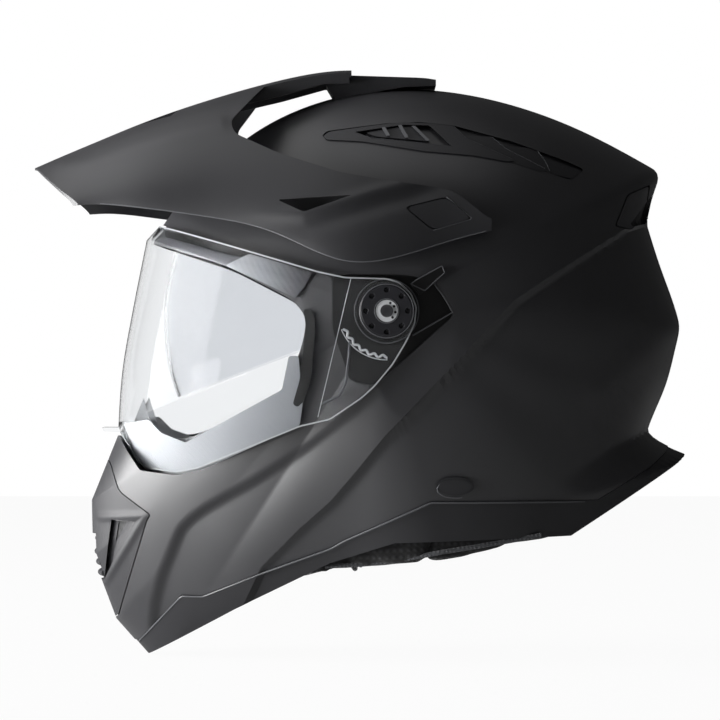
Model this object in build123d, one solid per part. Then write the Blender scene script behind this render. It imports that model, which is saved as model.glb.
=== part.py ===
from build123d import *
import math
import os

# Dual sport helmet in millimetres, worn attitude: front faces -Y, +X is the rider's left, +Z is up.
# The origin is the middle of the head space, on the plane of symmetry.

# Shell
shell_length = 360.0            # side view size: every side outline is in shares of it
shell_half_width = 122.0        # centre plane to the widest point of the shell
shell_wall = 3.6
step_depth = 2.2                # how far the rear quarters lie under the front blade
step_nose_drop = 0.8            # the same step where it meets the centre plane
landing_half_width = 115.5      # centre plane to the flat seat of the shield pivot
landing_wall = 3.0
shield_seat_gap = 1.6           # shell to the edge and the back of the closed shield
pocket_depth = 1.8              # seat of a cover set into the shell
cover_rise = 1.5                # how far a cover stands proud of the shell
seat_gap = 0.3                  # play round and under every cover, pad and trim
port_rim = 5.0                  # rim left round an opening behind a cover
cut_overrun = 60.0              # how far cutting prisms run past the helmet

# Bottom trim and liner
trim_wall = 8.0
trim_inset = 0.6                # the trim's face lies this far under the shell's
pad_inset = 10.0                # soft parts keep this far inside the outer surface
liner_half_width = 86.0         # head space of the bare foam liner
liner_half_length = 106.0
liner_half_height = 92.0
comfort_pad = 9.0               # thickness of the crown pad
crown_pad_bottom = -30.0        # lower edge of the crown pad
chin_liner_depth = 18.0
cheek_depth = 42.0              # thickness of a cheek pad, inner face to outer face
cheek_inner = 62.0              # centre plane to the crown of a cheek pad

# Face shield and its pivots
shield_half_width = 126.4
shield_wall = 2.2
pivot_hub_radius = 6.0
pivot_play = 0.1                # radial play on hubs and shafts
base_plate_radius = 18.6
base_plate_top = 121.8          # centre plane to the outer face of a base plate
lever_level_gap = 0.3
knob_radius = 16.0
knob_thickness = 5.2
knob_gap = 0.4
dimple_radius = 1.5
dimple_circle = 12.0
dimple_depth = 1.0
dimple_count = 8
screw_head_radius = 3.4
screw_radius = 1.8
screw_head_height = 1.2

# Inner sun visor, turning about its own shaft just behind and below the shield pivot
visor_radius = 126.6
visor_half_width = 111.6
visor_wall = 1.8
visor_play = 1.0
visor_travel_deg = 34.0
visor_shaft_radius = 2.6
visor_ear_radius = 12.0
lever_thickness = 2.2

# Peak
peak_half_width = 132.0
peak_wall = 2.6
strip_half_width = 30.0
skirt_overlap = 7.0             # how far the cut for the peak's inside runs below its lower edge
mount_half_width = 25.0
peak_screw_radius = 5.0

# Vents
vent_slider_length = 15.0
vent_slider_width = 9.0
vent_slider_thickness = 1.6
vent_rib_height = 1.2
slider_rib_count = 3
slat_thickness = 2.0
slat_count = 5
shutter_travel = 7.0
shutter_wall = 2.4
shutter_room = 12.0             # space behind the chin shutter for its tab and rails

# Chin strap
strap_width = 22.0
strap_thickness = 1.8
strap_slot_play = 2.0
ring_wire_radius = 1.6
rivet_radius = 5.5
rivet_height = 2.0


def side(shares):
    """Side view points (y, z) in millimetres from shares of the shell length."""
    return [(a * shell_length, b * shell_length) for a, b in shares]


pivot_share = (-0.041, -0.039)
visor_axis_share = (-0.058, -0.053)
pivot_y, pivot_z = side([pivot_share])[0]
visor_y, visor_z = side([visor_axis_share])[0]

# Side outline of the shell, run by run: y, z and the two powers that round the plan at that spoke.
shell_outline_shares = [
    [(-0.417, -0.628, 1.9, 1.3), (-0.489, -0.547, 1.9, 1.25)],
    [(-0.489, -0.547, 1.9, 1.25), (-0.528, -0.444, 1.9, 1.25)],
    [(-0.528, -0.444, 1.9, 1.25), (-0.530, -0.350, 1.9, 1.3)],
    [(-0.530, -0.350, 1.9, 1.3), (-0.485, -0.239, 1.9, 1.5)],
    [(-0.485, -0.239, 1.9, 1.5), (-0.462, -0.083, 2.0, 1.8), (-0.425, 0.088, 2.0, 2.0)],
    [(-0.425, 0.088, 2.0, 2.0), (-0.394, 0.131, 2.0, 2.0)],
    [(-0.394, 0.131, 2.0, 2.0), (-0.269, 0.254, 2.0, 2.0), (-0.125, 0.319, 2.05, 2.05),
     (0.014, 0.333, 2.1, 2.1), (0.147, 0.313, 2.15, 2.15), (0.267, 0.272, 2.2, 2.2),
     (0.347, 0.233, 2.2, 2.2), (0.408, 0.197, 2.25, 2.25)],
    [(0.408, 0.197, 2.25, 2.25), (0.395, 0.120, 2.25, 2.25)],
    [(0.395, 0.120, 2.25, 2.25), (0.452, -0.058, 2.3, 2.3)],
    [(0.452, -0.058, 2.3, 2.3), (0.428, -0.163, 2.3, 2.3), (0.400, -0.230, 2.35, 2.35)],
    [(0.400, -0.230, 2.35, 2.35), (0.460, -0.275, 2.35, 2.35)],
    [(0.460, -0.275, 2.35, 2.35), (0.422, -0.388, 2.4, 2.4)],
    [(0.422, -0.388, 2.4, 2.4), (0.361, -0.519, 2.4, 2.4), (0.167, -0.728, 2.4, 2.4),
     (0, -0.717, 2.3, 2.3), (-0.181, -0.681, 2.2, 2.2), (-0.350, -0.656, 1.9, 1.5),
     (-0.417, -0.628, 1.9, 1.3)],
]
shield_power = 2.25
shield_front_shares = [(-0.485, -0.228), (-0.478, -0.132), (-0.467, -0.065), (-0.438, 0.082)]
shield_chamfer_shares = [(-0.438, 0.082), (-0.417, 0.105)]
shield_rest_shares = [(-0.417, 0.105), (-0.250, 0.330), (-0.041, 0.380), (0.250, 0.270),
                      (0.380, -0.039), (0.250, -0.350), (-0.041, -0.460), (-0.300, -0.420),
                      (-0.430, -0.330), (-0.477, -0.250), (-0.485, -0.228)]
section_shares = [0, 0.35, 0.62, 0.82, 0.94, 0.985]

rim_shares = [(-0.600, -0.600), (-0.450, -0.580), (-0.375, -0.500), (-0.339, -0.500),
              (-0.251, -0.463), (-0.131, -0.418), (-0.107, -0.404), (0.030, -0.342),
              (0.300, -0.342), (0.357, -0.300), (0.381, -0.297), (0.421, -0.259),
              (0.600, -0.240)]
base_shares = [(-0.600, -0.640), (-0.436, -0.605), (-0.287, -0.522), (-0.132, -0.444),
               (-0.028, -0.410), (0.257, -0.400), (0.446, -0.280), (0.600, -0.200)]
below_all_shares = [(0.700, -0.900), (-0.700, -0.900)]
eye_port_shares = [(-0.700, 0.166), (-0.421, 0.074), (-0.300, 0.036), (-0.191, -0.020),
                   (-0.168, -0.049), (-0.175, -0.093), (-0.205, -0.166), (-0.282, -0.208),
                   (-0.365, -0.246), (-0.700, -0.215)]
shield_edge_shares = [(-0.600, 0.1555), (-0.417, 0.105), (-0.258, 0.057), (-0.149, 0.024),
                      (-0.107, 0.015), (-0.040, 0.013), (-0.021, 0.007), (-0.002, -0.010),
                      (0.007, -0.033), (0.004, -0.060), (-0.010, -0.089), (-0.031, -0.124),
                      (-0.060, -0.159), (-0.081, -0.178), (-0.131, -0.212), (-0.179, -0.223),
                      (-0.344, -0.291), (-0.381, -0.299), (-0.440, -0.293), (-0.600, -0.225)]
rear_quarter_shares = [(0.700, 0.125), (0.395, 0.118), (0.349, 0.098), (0.235, 0.027),
                       (0.163, -0.021), (0.018, -0.174), (-0.045, -0.239), (-0.091, -0.296),
                       (-0.131, -0.343), (-0.179, -0.386), (-0.244, -0.452), (-0.280, -0.530),
                       (-0.280, -0.800), (0.700, -0.800)]
pivot_landing_shares = [(-0.128, 0.018), (-0.107, 0.020), (-0.009, 0.019), (0.033, 0.010),
                        (0.048, -0.010), (0.068, -0.044), (0, -0.105), (-0.060, -0.159),
                        (-0.100, -0.150), (-0.128, -0.069)]
bezel_shares = [(-0.700, -0.190), (-0.496, -0.285), (-0.478, -0.332), (-0.432, -0.368),
                (-0.438, -0.376), (-0.484, -0.541), (-0.700, -0.620)]
bezel_window_shares = [(-0.700, -0.380), (-0.494, -0.380), (-0.456, -0.384), (-0.505, -0.476),
                       (-0.700, -0.500)]
deflector_shares = [(-0.520, -0.215), (-0.482, -0.232), (-0.431, -0.178), (-0.374, -0.256),
                    (-0.412, -0.290), (-0.520, -0.320)]
plug_place_share = (0.069, -0.318)
plug_size_shares = (0.030, 0.0145)
top_vent_shares = [(-0.144, 0.247), (-0.137, 0.254), (-0.040, 0.266), (0.013, 0.268),
                   (0.069, 0.262), (0.162, 0.236), (0.246, 0.206), (0.279, 0.192),
                   (0.258, 0.174), (0.170, 0.202), (0.101, 0.214), (0.021, 0.220),
                   (-0.080, 0.236), (-0.136, 0.240)]
exhaust_shares = [(0.330, 0.100), (0.352, 0.152), (0.392, 0.170), (0.386, 0.122), (0.358, 0.096)]
liner_shares = [(-0.360, 0.118), (-0.250, 0.076), (-0.150, -0.010), (-0.140, -0.100),
                (-0.100, -0.180), (-0.040, -0.240), (0.100, -0.290), (0.300, -0.290),
                (0.500, -0.180), (0.600, 0.400), (-0.400, 0.500), (-0.500, 0.200)]
chin_liner_shares = [(-0.480, -0.310), (-0.420, -0.340), (-0.380, -0.380), (-0.360, -0.480),
                     (-0.480, -0.540), (-0.700, -0.560), (-0.700, -0.310)]
neck_roll_shares = [(0.090, -0.310), (0.180, -0.316), (0.330, -0.306), (0.420, -0.250),
                    (0.470, -0.300), (0.250, -0.388), (0.120, -0.393), (0.085, -0.375)]
cheek_shares = [(-0.300, -0.225), (-0.210, -0.135), (-0.120, -0.125), (-0.070, -0.200),
                (0.020, -0.255), (0.035, -0.330), (-0.010, -0.415), (-0.130, -0.455),
                (-0.240, -0.440), (-0.305, -0.350)]
cheek_centre_share = (-0.130, -0.300)
cheek_section_shares = [(0, 0.60), (0.10, 0.84), (0.35, 0.97), (0.62, 1.0), (0.88, 0.95), (1.0, 0.80)]

# Peak stations: y, top z, lower edge z, half width as a share of the peak's, and the arch powers.
peak_station_shares = [
    (-0.660, 0.1870, 0.1180, 0.580, 1.5, 1.1), (-0.584, 0.2205, 0.1280, 0.590, 1.6, 1.2),
    (-0.521, 0.2467, 0.1345, 0.620, 1.8, 1.4), (-0.452, 0.2747, 0.1297, 0.685, 2.0, 1.6),
    (-0.319, 0.3200, 0.1110, 0.780, 2.2, 1.7), (-0.217, 0.3480, 0.0850, 0.885, 2.2, 1.5),
    (-0.107, 0.3645, 0.0400, 0.996, 2.3, 1.35), (-0.020, 0.3570, 0.0470, 0.985, 2.3, 1.35),
    (0.067, 0.3370, 0.0740, 0.930, 2.3, 1.38), (0.129, 0.3160, 0.0900, 0.905, 2.3, 1.4),
]
# Front edge of the peak seen from above: x in shares of the peak's half width, y of the length.
peak_front_shares = [(0, -0.625), (0.256, -0.606), (0.426, -0.584), (0.580, -0.5495), (0.680, -0.500)]
peak_gap_shares = [(-0.286, 0.250), (-0.263, 0.239), (-0.215, 0.216), (-0.179, 0.204),
                   (-0.115, 0.183), (-0.059, 0.173), (0.051, 0.157), (0.075, 0.147),
                   (0.121, 0.109), (0.200, 0.100), (0.200, 0.500), (-0.100, 0.500),
                   (-0.294, 0.271)]
peak_strip_end_shares = [(-0.1008, 0.200), (-0.1008, 0.500), (0.200, 0.500), (0.200, 0.200)]
peak_side_vent_shares = [(-0.215, 0.139), (-0.096, 0.146), (-0.173, 0.119)]
front_slot_shares = [(-0.500, 0.260), (-0.380, 0.325), (-0.340, 0.340), (-0.395, 0.285)]
front_slot_width_shares = (0.12, 0.30)
cap_shares = [(-0.012, 0.126), (0.055, 0.143), (0.096, 0.108), (0.033, 0.089)]
crown_mount_shares = [(-0.100, 0.318), (-0.010, 0.334), (0.042, 0.336), (0.042, 0.346),
                      (0.026, 0.3485), (0.010, 0.3495), (-0.100, 0.3530)]

strap_anchor_share = (0.050, -0.325)
strap_chin_share = (-0.105, -0.425)
cap_place_share = (0.043, 0.116)
strip_flange_shares = [(-0.292, 0.300), (-0.215, 0.318), (-0.143, 0.338), (-0.1008, 0.339),
                       (-0.1008, 0.500), (-0.292, 0.500)]
peak_arch_shares = [-1, -0.985, -0.94, -0.85, -0.7, -0.5, -0.25, 0, 0.25, 0.5, 0.7, 0.85, 0.94,
                    0.985, 1]

# Small parts of the vents, levers and straps
vent_place_share = (-0.032, 0.249)
vent_slider_level = -0.4        # middle of the slider plate against the shell surface
vent_slider_travel = 7.0
slat_pitch_share = 0.017
grille_low_share = (-0.520, -0.460)
shutter_y_share = -0.478
shutter_z_share = -0.425
shutter_half_width = 20.0
shutter_height = 26.0
gasket_width = 3.0              # the port in the shell is this much larger all round than the view
gasket_lip = 1.2
deflector_wall = 2.0
neck_roll_reach = 6.0           # how far the neck roll stands into the neck opening
tab_place_share = (-0.497, -0.234)
tab_width = 18.0
tab_depth = 11.0
lever_hub_radius = 5.5
lever_tab_drop = 1.5            # the finger tab's inner face lies this far inside the widest point
lever_arm_shares = [(-0.064, -0.045), (0.006, 0.0105), (0.0195, -0.0065), (-0.052, -0.062)]
lever_tab_shares = [(-0.003, 0.004), (0.006, 0.0105), (0.047, 0.033), (0.051, 0.022), (0.0195, -0.0065),
                    (0.0105, -0.0135)]
lever_riser_shares = [(-0.003, 0.004), (0.006, 0.0105), (0.0195, -0.0065), (0.0105, -0.0135)]
visor_low_deg = -21.0
visor_high_deg = 22.0
visor_sweep_margin_deg = 2.0
ratchet_radius = 25.4
ratchet_wall = 1.6
ratchet_low_deg = 23.0
ratchet_high_deg = 90.0
ratchet_teeth = 5
strap_half_span = 103.0
strap_drop = 67.8
strap_path_shares = [(1.0, -0.12), (1.0, 0.09), (0.92, 0.34), (0.76, 0.65), (0.45, 0.92)]
strap_eye_share = 0.11
strap_bend_radius = 8.0
ring_pitch = 4.0
rivet_shank_radius = 2.5


def run_parameters(points):
    """Chord length parameters from 0 to 1, so that the runs of all sections match."""
    lengths = [0]
    for a, b in zip(points, points[1:]):
        lengths.append(lengths[-1] + math.hypot(b[0] - a[0], b[1] - a[1]))
    return [value / lengths[-1] for value in lengths]


def dome_section(outline, half_width, share, inset):
    """Section of a domed body at x = share * half_width: each spoke from the pivot shrinks."""
    edges = []
    for run in outline:
        points = []
        for a, b, p, q in run:
            dy = a * shell_length - pivot_y
            dz = b * shell_length - pivot_z
            reach = math.hypot(dy, dz)
            scale_here = (reach - inset) / reach * (1 - abs(share) ** p) ** (1 / q)
            points.append(Vector(half_width * share, pivot_y + dy * scale_here,
                                 pivot_z + dz * scale_here))
        if len(points) == 2:
            edges.append(Edge.make_line(points[0], points[1]))
        else:
            edges.append(Edge.make_spline(points, parameters=run_parameters(run)))
    return Wire(edges)


def dome(outline, half_width, inset=0):
    """Body between the two flat pivot seats, lofted through the sections."""
    shares = [-share for share in reversed(section_shares[1:])] + section_shares
    return Solid.make_loft([dome_section(outline, half_width, share, inset) for share in shares])


def shell_dome(inset):
    return dome(shell_outline_shares, shell_half_width - inset, inset)


def prism(shares, low=None, high=None, grow=0):
    """Side outline extruded across the helmet, or from x = low to x = high."""
    far = shell_half_width + cut_overrun
    low = -far if low is None else low
    high = far if high is None else high
    face = make_face(Polyline(*side(shares), close=True))
    if grow:
        face = offset(face, grow, kind=Kind.INTERSECTION)
    return extrude(Plane.YZ.offset(low) * face, high - low)


def disc(y, z, radius, low, high):
    """Round piece across the helmet, from x = low to x = high."""
    return Plane.YZ.offset(low) * Pos(y, z, 0) * Cylinder(
        radius, high - low, align=(Align.CENTER, Align.CENTER, Align.MIN))


def mirrored(shape):
    return mirror(shape, Plane.YZ)


def solids_of(shape):
    parts = shape.solids()
    return parts[0] if len(parts) == 1 else Compound(children=list(parts))


def save(shape, name):
    export_step(solids_of(shape), "parts/" + name + ".step")


def save_pair(shape, name):
    save(shape, name + "_left")
    save(mirrored(shape), name + "_right")


# Shared bodies
shield_outline = [[(a, b, shield_power, shield_power) for a, b in run]
                  for run in (shield_front_shares, shield_chamfer_shares, shield_rest_shares)]
outer = shell_dome(0)
pocket_floor = shell_dome(pocket_depth)
cover_back = shell_dome(pocket_depth - seat_gap)
cover_top = shell_dome(-cover_rise)
below_rim = prism(rim_shares + below_all_shares)
below_base = prism(base_shares + below_all_shares)
eye_port = prism(eye_port_shares, grow=gasket_width)
chin_window = prism(bezel_window_shares)


def shield_dome(inset):
    return dome(shield_outline, shield_half_width - inset, inset)


def both(left):
    return left + mirrored(left)


def shell_hollow(gap):
    """Inside of the shell wall, drawn in by a gap: it also follows the seats of the shield."""
    depth = shell_wall + gap
    seat_floor = shield_dome(shield_wall + shield_seat_gap + depth)
    body = shell_dome(depth) - (prism(shield_edge_shares, grow=shield_seat_gap + depth) - seat_floor)
    seat = prism(pivot_landing_shares, landing_half_width - landing_wall - gap,
                 grow=landing_wall + gap)
    return body - both(seat)


def outer_shell():
    body = outer - (prism(rear_quarter_shares) - shell_low)
    body -= prism(shield_edge_shares, grow=shield_seat_gap) - shield_dome(
        shield_wall + shield_seat_gap)
    body -= both(prism(pivot_landing_shares, landing_half_width))
    body -= shell_hollow(0)
    body = body - below_rim - eye_port - chin_window
    for shares in (top_vent_shares, exhaust_shares):
        body -= both(prism(shares, 0, grow=seat_gap) - pocket_floor)
    body -= prism(bezel_shares, grow=seat_gap) - pocket_floor
    body -= both(plug_prism(seat_gap) - pocket_floor)
    body -= both(shaft_bore(pivot_play))
    body -= both(disc(*side([cap_place_share])[0], peak_screw_radius + pivot_play, 0,
                      shell_half_width))
    body -= both(vent_frame * Box(vent_slider_length, vent_slider_width - port_rim, cut_overrun))
    return body


def plug_prism(grow):
    a, b = plug_size_shares
    y, z = side([plug_place_share])[0]
    face = Plane.YZ * Pos(y, z, 0) * Ellipse(a * shell_length + grow, b * shell_length + grow)
    return extrude(face, shell_half_width + cut_overrun)


def shaft_bore(play):
    return disc(visor_y, visor_z, visor_shaft_radius + play, shell_half_width / 2, shell_half_width)


def set_in_cover(shares):
    """Cover seated in a pocket of the shell, left side."""
    return (prism(shares, 0) & cover_top) - cover_back


def chin_bezel():
    return (prism(bezel_shares) & outer) - cover_back - chin_window


def chin_grille():
    frame_top = shell_dome(shell_wall + seat_gap)
    frame_back = shell_dome(shell_wall + seat_gap + slat_thickness)
    ring = (prism(bezel_window_shares, grow=port_rim) - chin_window) & frame_top
    body = ring - frame_back
    front_y, low_z = side([grille_low_share])[0]
    pitch = slat_pitch_share * shell_length
    reach = shutter_y_share * shell_length - front_y
    slats = [Pos(0, front_y, low_z + pitch * row) * Box(shell_half_width, 2 * reach, slat_thickness)
             for row in range(slat_count)]
    slats = Compound(children=slats)
    joined = slats & prism(bezel_window_shares, grow=seat_gap) & frame_top
    proud = slats & prism(bezel_window_shares, grow=-seat_gap) & shell_dome(slat_thickness)
    slats = (joined + proud) - frame_back
    rail_centre = shutter_half_width + seat_gap + slat_thickness / 2
    rail_length = shutter_height + 2 * shutter_travel
    rail = Pos(rail_centre, shutter_y_share * shell_length, shutter_z_share * shell_length) * Box(
        slat_thickness, 2 * (shutter_room - seat_gap), rail_length)
    rails = both(rail & frame_top)
    return body + slats + rails


def chin_shutter():
    y = shutter_y_share * shell_length
    z = shutter_z_share * shell_length
    plate = Pos(0, y, z) * Box(2 * shutter_half_width, shutter_wall, shutter_height)
    tab = Pos(0, y + shutter_wall, z) * Box(shutter_half_width, 2 * shutter_wall, shutter_wall)
    return plate + tab


def base_trim():
    body = (shell_dome(trim_inset) & below_rim) - below_base
    return body - shell_dome(trim_wall)


def head_space(gap):
    """Dome over a straight neck, drawn in by a gap."""
    a = liner_half_width - gap
    b = liner_half_length - gap
    c = liner_half_height - gap
    neck = Pos(0, 0, -shell_length) * extrude(Ellipse(a, b), shell_length)
    return scale(Sphere(c), by=(a / c, b / c, 1)) + neck


def visor_profile(grow, back):
    """Half section of the sun visor in x and radius, from ear to ear."""
    def curve(radius, half_width):
        shares = [-share for share in reversed(section_shares[1:])] + section_shares
        return [(half_width * s, radius * (1 - abs(s) ** shield_power) ** (1 / shield_power))
                for s in shares]
    front = curve(visor_radius + grow, visor_half_width + grow)
    rear = curve(visor_radius - back, visor_half_width - back)
    eye = visor_shaft_radius
    edges = [Edge.make_spline([Vector(x, r) for x, r in front]),
             Edge.make_spline([Vector(x, r) for x, r in rear])]
    for side_end in (0, -1):
        corner = [Vector(*front[side_end]), Vector(front[side_end][0], eye),
                  Vector(rear[side_end][0], eye), Vector(*rear[side_end])]
        edges += [Edge.make_line(a, b) for a, b in zip(corner, corner[1:])]
    return make_face(Wire(edges))


def visor_sector(low_deg, high_deg, grow, back):
    angle = math.radians(low_deg)
    plane = Plane(origin=(0, visor_y, visor_z), x_dir=(1, 0, 0),
                  z_dir=(0, -math.sin(angle), -math.cos(angle)))
    axis = Axis((0, visor_y, visor_z), (-1, 0, 0))
    return revolve(plane * visor_profile(grow, back), axis, high_deg - low_deg)


def visor_ear(grow):
    top = (visor_half_width + grow) * section_shares[-1]
    low = (visor_half_width - visor_wall - grow) * section_shares[-1]
    return disc(visor_y, visor_z, visor_ear_radius + grow, low, top)


def sun_visor():
    body = visor_sector(visor_low_deg, visor_high_deg, 0, visor_wall) + both(visor_ear(0))
    return body - both(disc(visor_y, visor_z, visor_shaft_radius, 0, shell_half_width))


def visor_sweep():
    """Room for the sun visor over its whole travel."""
    high = visor_high_deg + visor_travel_deg + visor_sweep_margin_deg
    low = visor_low_deg - visor_sweep_margin_deg
    return visor_sector(low, high, visor_play, visor_wall + visor_play) + both(visor_ear(visor_play))


def eps_liner():
    body = (prism(liner_shares) & liner_room) - head_space(0) - visor_sweep()
    body -= both(disc(*side([cap_place_share])[0], peak_screw_radius + seat_gap,
                      shell_half_width / 2, shell_half_width))
    body -= both(shaft_bore(seat_gap))
    return max(body.solids(), key=lambda solid: solid.volume)


def chin_liner():
    body = (prism(chin_liner_shares) & liner_room) - shell_dome(shell_wall + chin_liner_depth)
    room_y = shutter_y_share * shell_length + shutter_room
    room = Pos(0, room_y - shell_length / 2, -shell_length / 2) * Box(
        2 * shutter_half_width + 4 * slat_thickness, shell_length, shell_length)
    return body - room - prism(bezel_window_shares, grow=port_rim + seat_gap)


def crown_pad():
    a = liner_half_width - seat_gap
    b = liner_half_length - seat_gap
    c = liner_half_height - seat_gap
    body = scale(Sphere(c), by=(a / c, b / c, 1)) - head_space(comfort_pad)
    top = Pos(0, 0, crown_pad_bottom + shell_length / 2) * Box(shell_length, shell_length, shell_length)
    return (body & top) & prism(liner_shares)


def cheek_pad():
    """Crowned cushion whose rim draws in, cut to lie against the inside of the shell."""
    wires = []
    centre_y, centre_z = side([cheek_centre_share])[0]
    for depth_share, size_share in cheek_section_shares:
        x = cheek_inner + cheek_depth * depth_share
        points = [Vector(x, centre_y + (y - centre_y) * size_share,
                         centre_z + (z - centre_z) * size_share) for y, z in side(cheek_shares)]
        wires.append(Wire([Edge.make_spline(points, periodic=True)]))
    pad = Solid.make_loft(wires)
    return (pad & pad_room) - eye_port - prism(liner_shares, grow=seat_gap) - strap_slot()


def neck_roll():
    return ((prism(neck_roll_shares) & pad_room) - head_space(neck_roll_reach)) - strap_slot_pair()


def strap_plane():
    """Tilted plane of the chin strap: x across, y down the strap's slope."""
    anchor = Vector(0, *side([strap_anchor_share])[0])
    chin = Vector(0, *side([strap_chin_share])[0])
    slope = (chin - anchor).normalized()
    return Plane(origin=anchor, x_dir=(1, 0, 0), z_dir=Vector(1, 0, 0).cross(slope))


def strap_path():
    points = [(a * strap_half_span, b * strap_drop) for a, b in strap_path_shares]
    points.append((strap_eye_share * strap_half_span, strap_drop))
    return points


def strap_band(points, thickness, width):
    line = FilletPolyline(*points, radius=strap_bend_radius)
    return extrude(strap_plane() * trace(line, thickness), width / 2, both=True)


def strap_slot():
    return strap_band(strap_path(), strap_thickness + 2 * strap_slot_play,
                      strap_width + 2 * strap_slot_play)


def strap_slot_pair():
    return both(strap_slot())


def strap():
    band = strap_band(strap_path(), strap_thickness, strap_width)
    eye_x = strap_eye_share * strap_half_span
    reach = ring_wire_radius + seat_gap
    slot = strap_plane() * Pos(eye_x - reach, strap_drop, 0)
    eye = slot * extrude(SlotCenterToCenter(ring_pitch, 2 * (reach + strap_thickness), rotation=90),
                         strap_width / 2, both=True)
    hole = slot * extrude(SlotCenterToCenter(ring_pitch, 2 * reach, rotation=90),
                          strap_width / 2, both=True)
    y, z = side([strap_anchor_share])[0]
    return band + eye - hole - disc(y, z, rivet_shank_radius, 0, shell_half_width)


def chin_rings():
    """Two flat steel rings that join the straps under the chin."""
    gap = strap_eye_share * strap_half_span
    reach = ring_wire_radius + seat_gap
    half_x = gap - reach
    half_w = strap_width / 2 + 2 * ring_wire_radius
    corners = [(-half_x, -half_w), (half_x, -half_w), (half_x, half_w), (-half_x, half_w)]
    rings = []
    for place in (-ring_pitch / 2, ring_pitch / 2):
        plane = strap_plane() * Pos(0, strap_drop + place, 0)
        ring_plane = plane * Rot(90, 0, 0)
        path = ring_plane * FilletPolyline(*corners, radius=2 * ring_wire_radius, close=True)
        start = path @ 0
        section = Plane(origin=start, z_dir=path % 0) * Circle(ring_wire_radius)
        rings.append(sweep(section, path))
    return rings


def rivet():
    y, z = side([strap_anchor_share])[0]
    face = strap_half_span - strap_thickness / 2
    head = disc(y, z, rivet_radius, face - rivet_height - pivot_play, face - pivot_play)
    shank = disc(y, z, rivet_shank_radius, face - rivet_height, shell_half_width) & liner_room
    return head + shank


def gasket():
    top = shield_dome(shield_wall + shield_seat_gap)
    back = shield_dome(shield_wall + shield_seat_gap + shell_wall + gasket_lip)
    seal = prism(eye_port_shares, grow=gasket_width - seat_gap) - prism(eye_port_shares)
    return (seal & top) - back


def breath_deflector():
    low = shield_wall + shield_seat_gap + shell_wall + gasket_lip + seat_gap
    return (prism(deflector_shares) & shield_dome(low)) - shield_dome(low + deflector_wall)


def face_shield():
    body = (prism(shield_edge_shares) & shield_dome(0)) - shield_dome(shield_wall)
    y, z = side([tab_place_share])[0]
    body += Pos(0, y, z) * Box(tab_width, tab_depth, shield_wall)
    return body - both(disc(pivot_y, pivot_z, pivot_hub_radius + pivot_play, 0,
                            shell_half_width + cut_overrun))


def base_plate(with_lever):
    low = landing_half_width + lever_thickness + 2 * lever_level_gap
    body = disc(pivot_y, pivot_z, base_plate_radius, low, base_plate_top)
    foot = disc(pivot_y, pivot_z, base_plate_radius, landing_half_width, low)
    room = lever_hub_radius + 2 * lever_level_gap
    corner = Pos(0, visor_y - room + shell_length / 2, visor_z - room + shell_length / 2)
    if with_lever:
        foot -= corner * Box(2 * shell_length, shell_length, shell_length)
    body += foot
    hub_top = base_plate_top + shield_seat_gap + shield_wall / 2
    body += disc(pivot_y, pivot_z, pivot_hub_radius, base_plate_top, hub_top)
    body -= disc(visor_y, visor_z, visor_shaft_radius + pivot_play, landing_half_width, low)
    return body - disc(pivot_y, pivot_z, screw_radius, low + seat_gap,
                       shell_half_width + cut_overrun)


def ratchet():
    """Arc of teeth under the shield, in front of and below the pivot."""
    low = landing_half_width
    high = base_plate_top - lever_level_gap
    ring = disc(pivot_y, pivot_z, ratchet_radius + ratchet_wall, low, high)
    ring -= disc(pivot_y, pivot_z, ratchet_radius, low, high)
    reach = 2 * ratchet_radius
    wedge = [(pivot_y, pivot_z)]
    for degrees in (ratchet_low_deg, (ratchet_low_deg + ratchet_high_deg) / 2, ratchet_high_deg):
        angle = math.radians(degrees)
        wedge.append((pivot_y - reach * math.cos(angle), pivot_z - reach * math.sin(angle)))
    sector = extrude(Plane.YZ.offset(low) * make_face(Polyline(*wedge, close=True)), high - low)
    body = ring & sector
    for index in range(ratchet_teeth):
        degrees = ratchet_low_deg + (ratchet_high_deg - ratchet_low_deg) * (index + 0.5) / ratchet_teeth
        angle = math.radians(degrees)
        body += disc(pivot_y - ratchet_radius * math.cos(angle),
                     pivot_z - ratchet_radius * math.sin(angle), ratchet_wall, low, high)
    return body


def pivot_knob():
    low = base_plate_top + shield_seat_gap + shield_wall + knob_gap
    body = disc(pivot_y, pivot_z, knob_radius, low, low + knob_thickness)
    body = chamfer(body.edges().filter_by(GeomType.CIRCLE).sort_by(Axis.X)[-1], knob_thickness / 4)
    body -= disc(pivot_y, pivot_z, screw_radius + pivot_play, 0, low + knob_thickness)
    for index in range(dimple_count):
        angle = 2 * math.pi * index / dimple_count
        body -= disc(pivot_y + dimple_circle * math.cos(angle),
                     pivot_z + dimple_circle * math.sin(angle), dimple_radius,
                     low + knob_thickness - dimple_depth, low + 2 * knob_thickness)
    return body


def pivot_screw():
    top = base_plate_top + shield_seat_gap + shield_wall + knob_gap + knob_thickness + seat_gap
    head = disc(pivot_y, pivot_z, screw_head_radius, top, top + screw_head_height)
    low = landing_half_width + lever_thickness + 2 * lever_level_gap + seat_gap
    return head + disc(pivot_y, pivot_z, screw_radius, low, top)


def visor_shaft():
    return disc(visor_y, visor_z, visor_shaft_radius,
                (visor_half_width - visor_wall) * section_shares[-1],
                landing_half_width + lever_level_gap + lever_thickness)


def visor_lever():
    low = landing_half_width + lever_level_gap
    high = low + lever_thickness
    hub = disc(visor_y, visor_z, lever_hub_radius, low, high)
    arm = prism(lever_arm_shares, low, high)
    tab_low = shell_half_width - lever_tab_drop
    tab = prism(lever_tab_shares, tab_low, tab_low + lever_thickness)
    riser = prism(lever_riser_shares, low, tab_low + lever_thickness)
    return hub + arm + tab + riser - disc(visor_y, visor_z, visor_shaft_radius, low, high)


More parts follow.
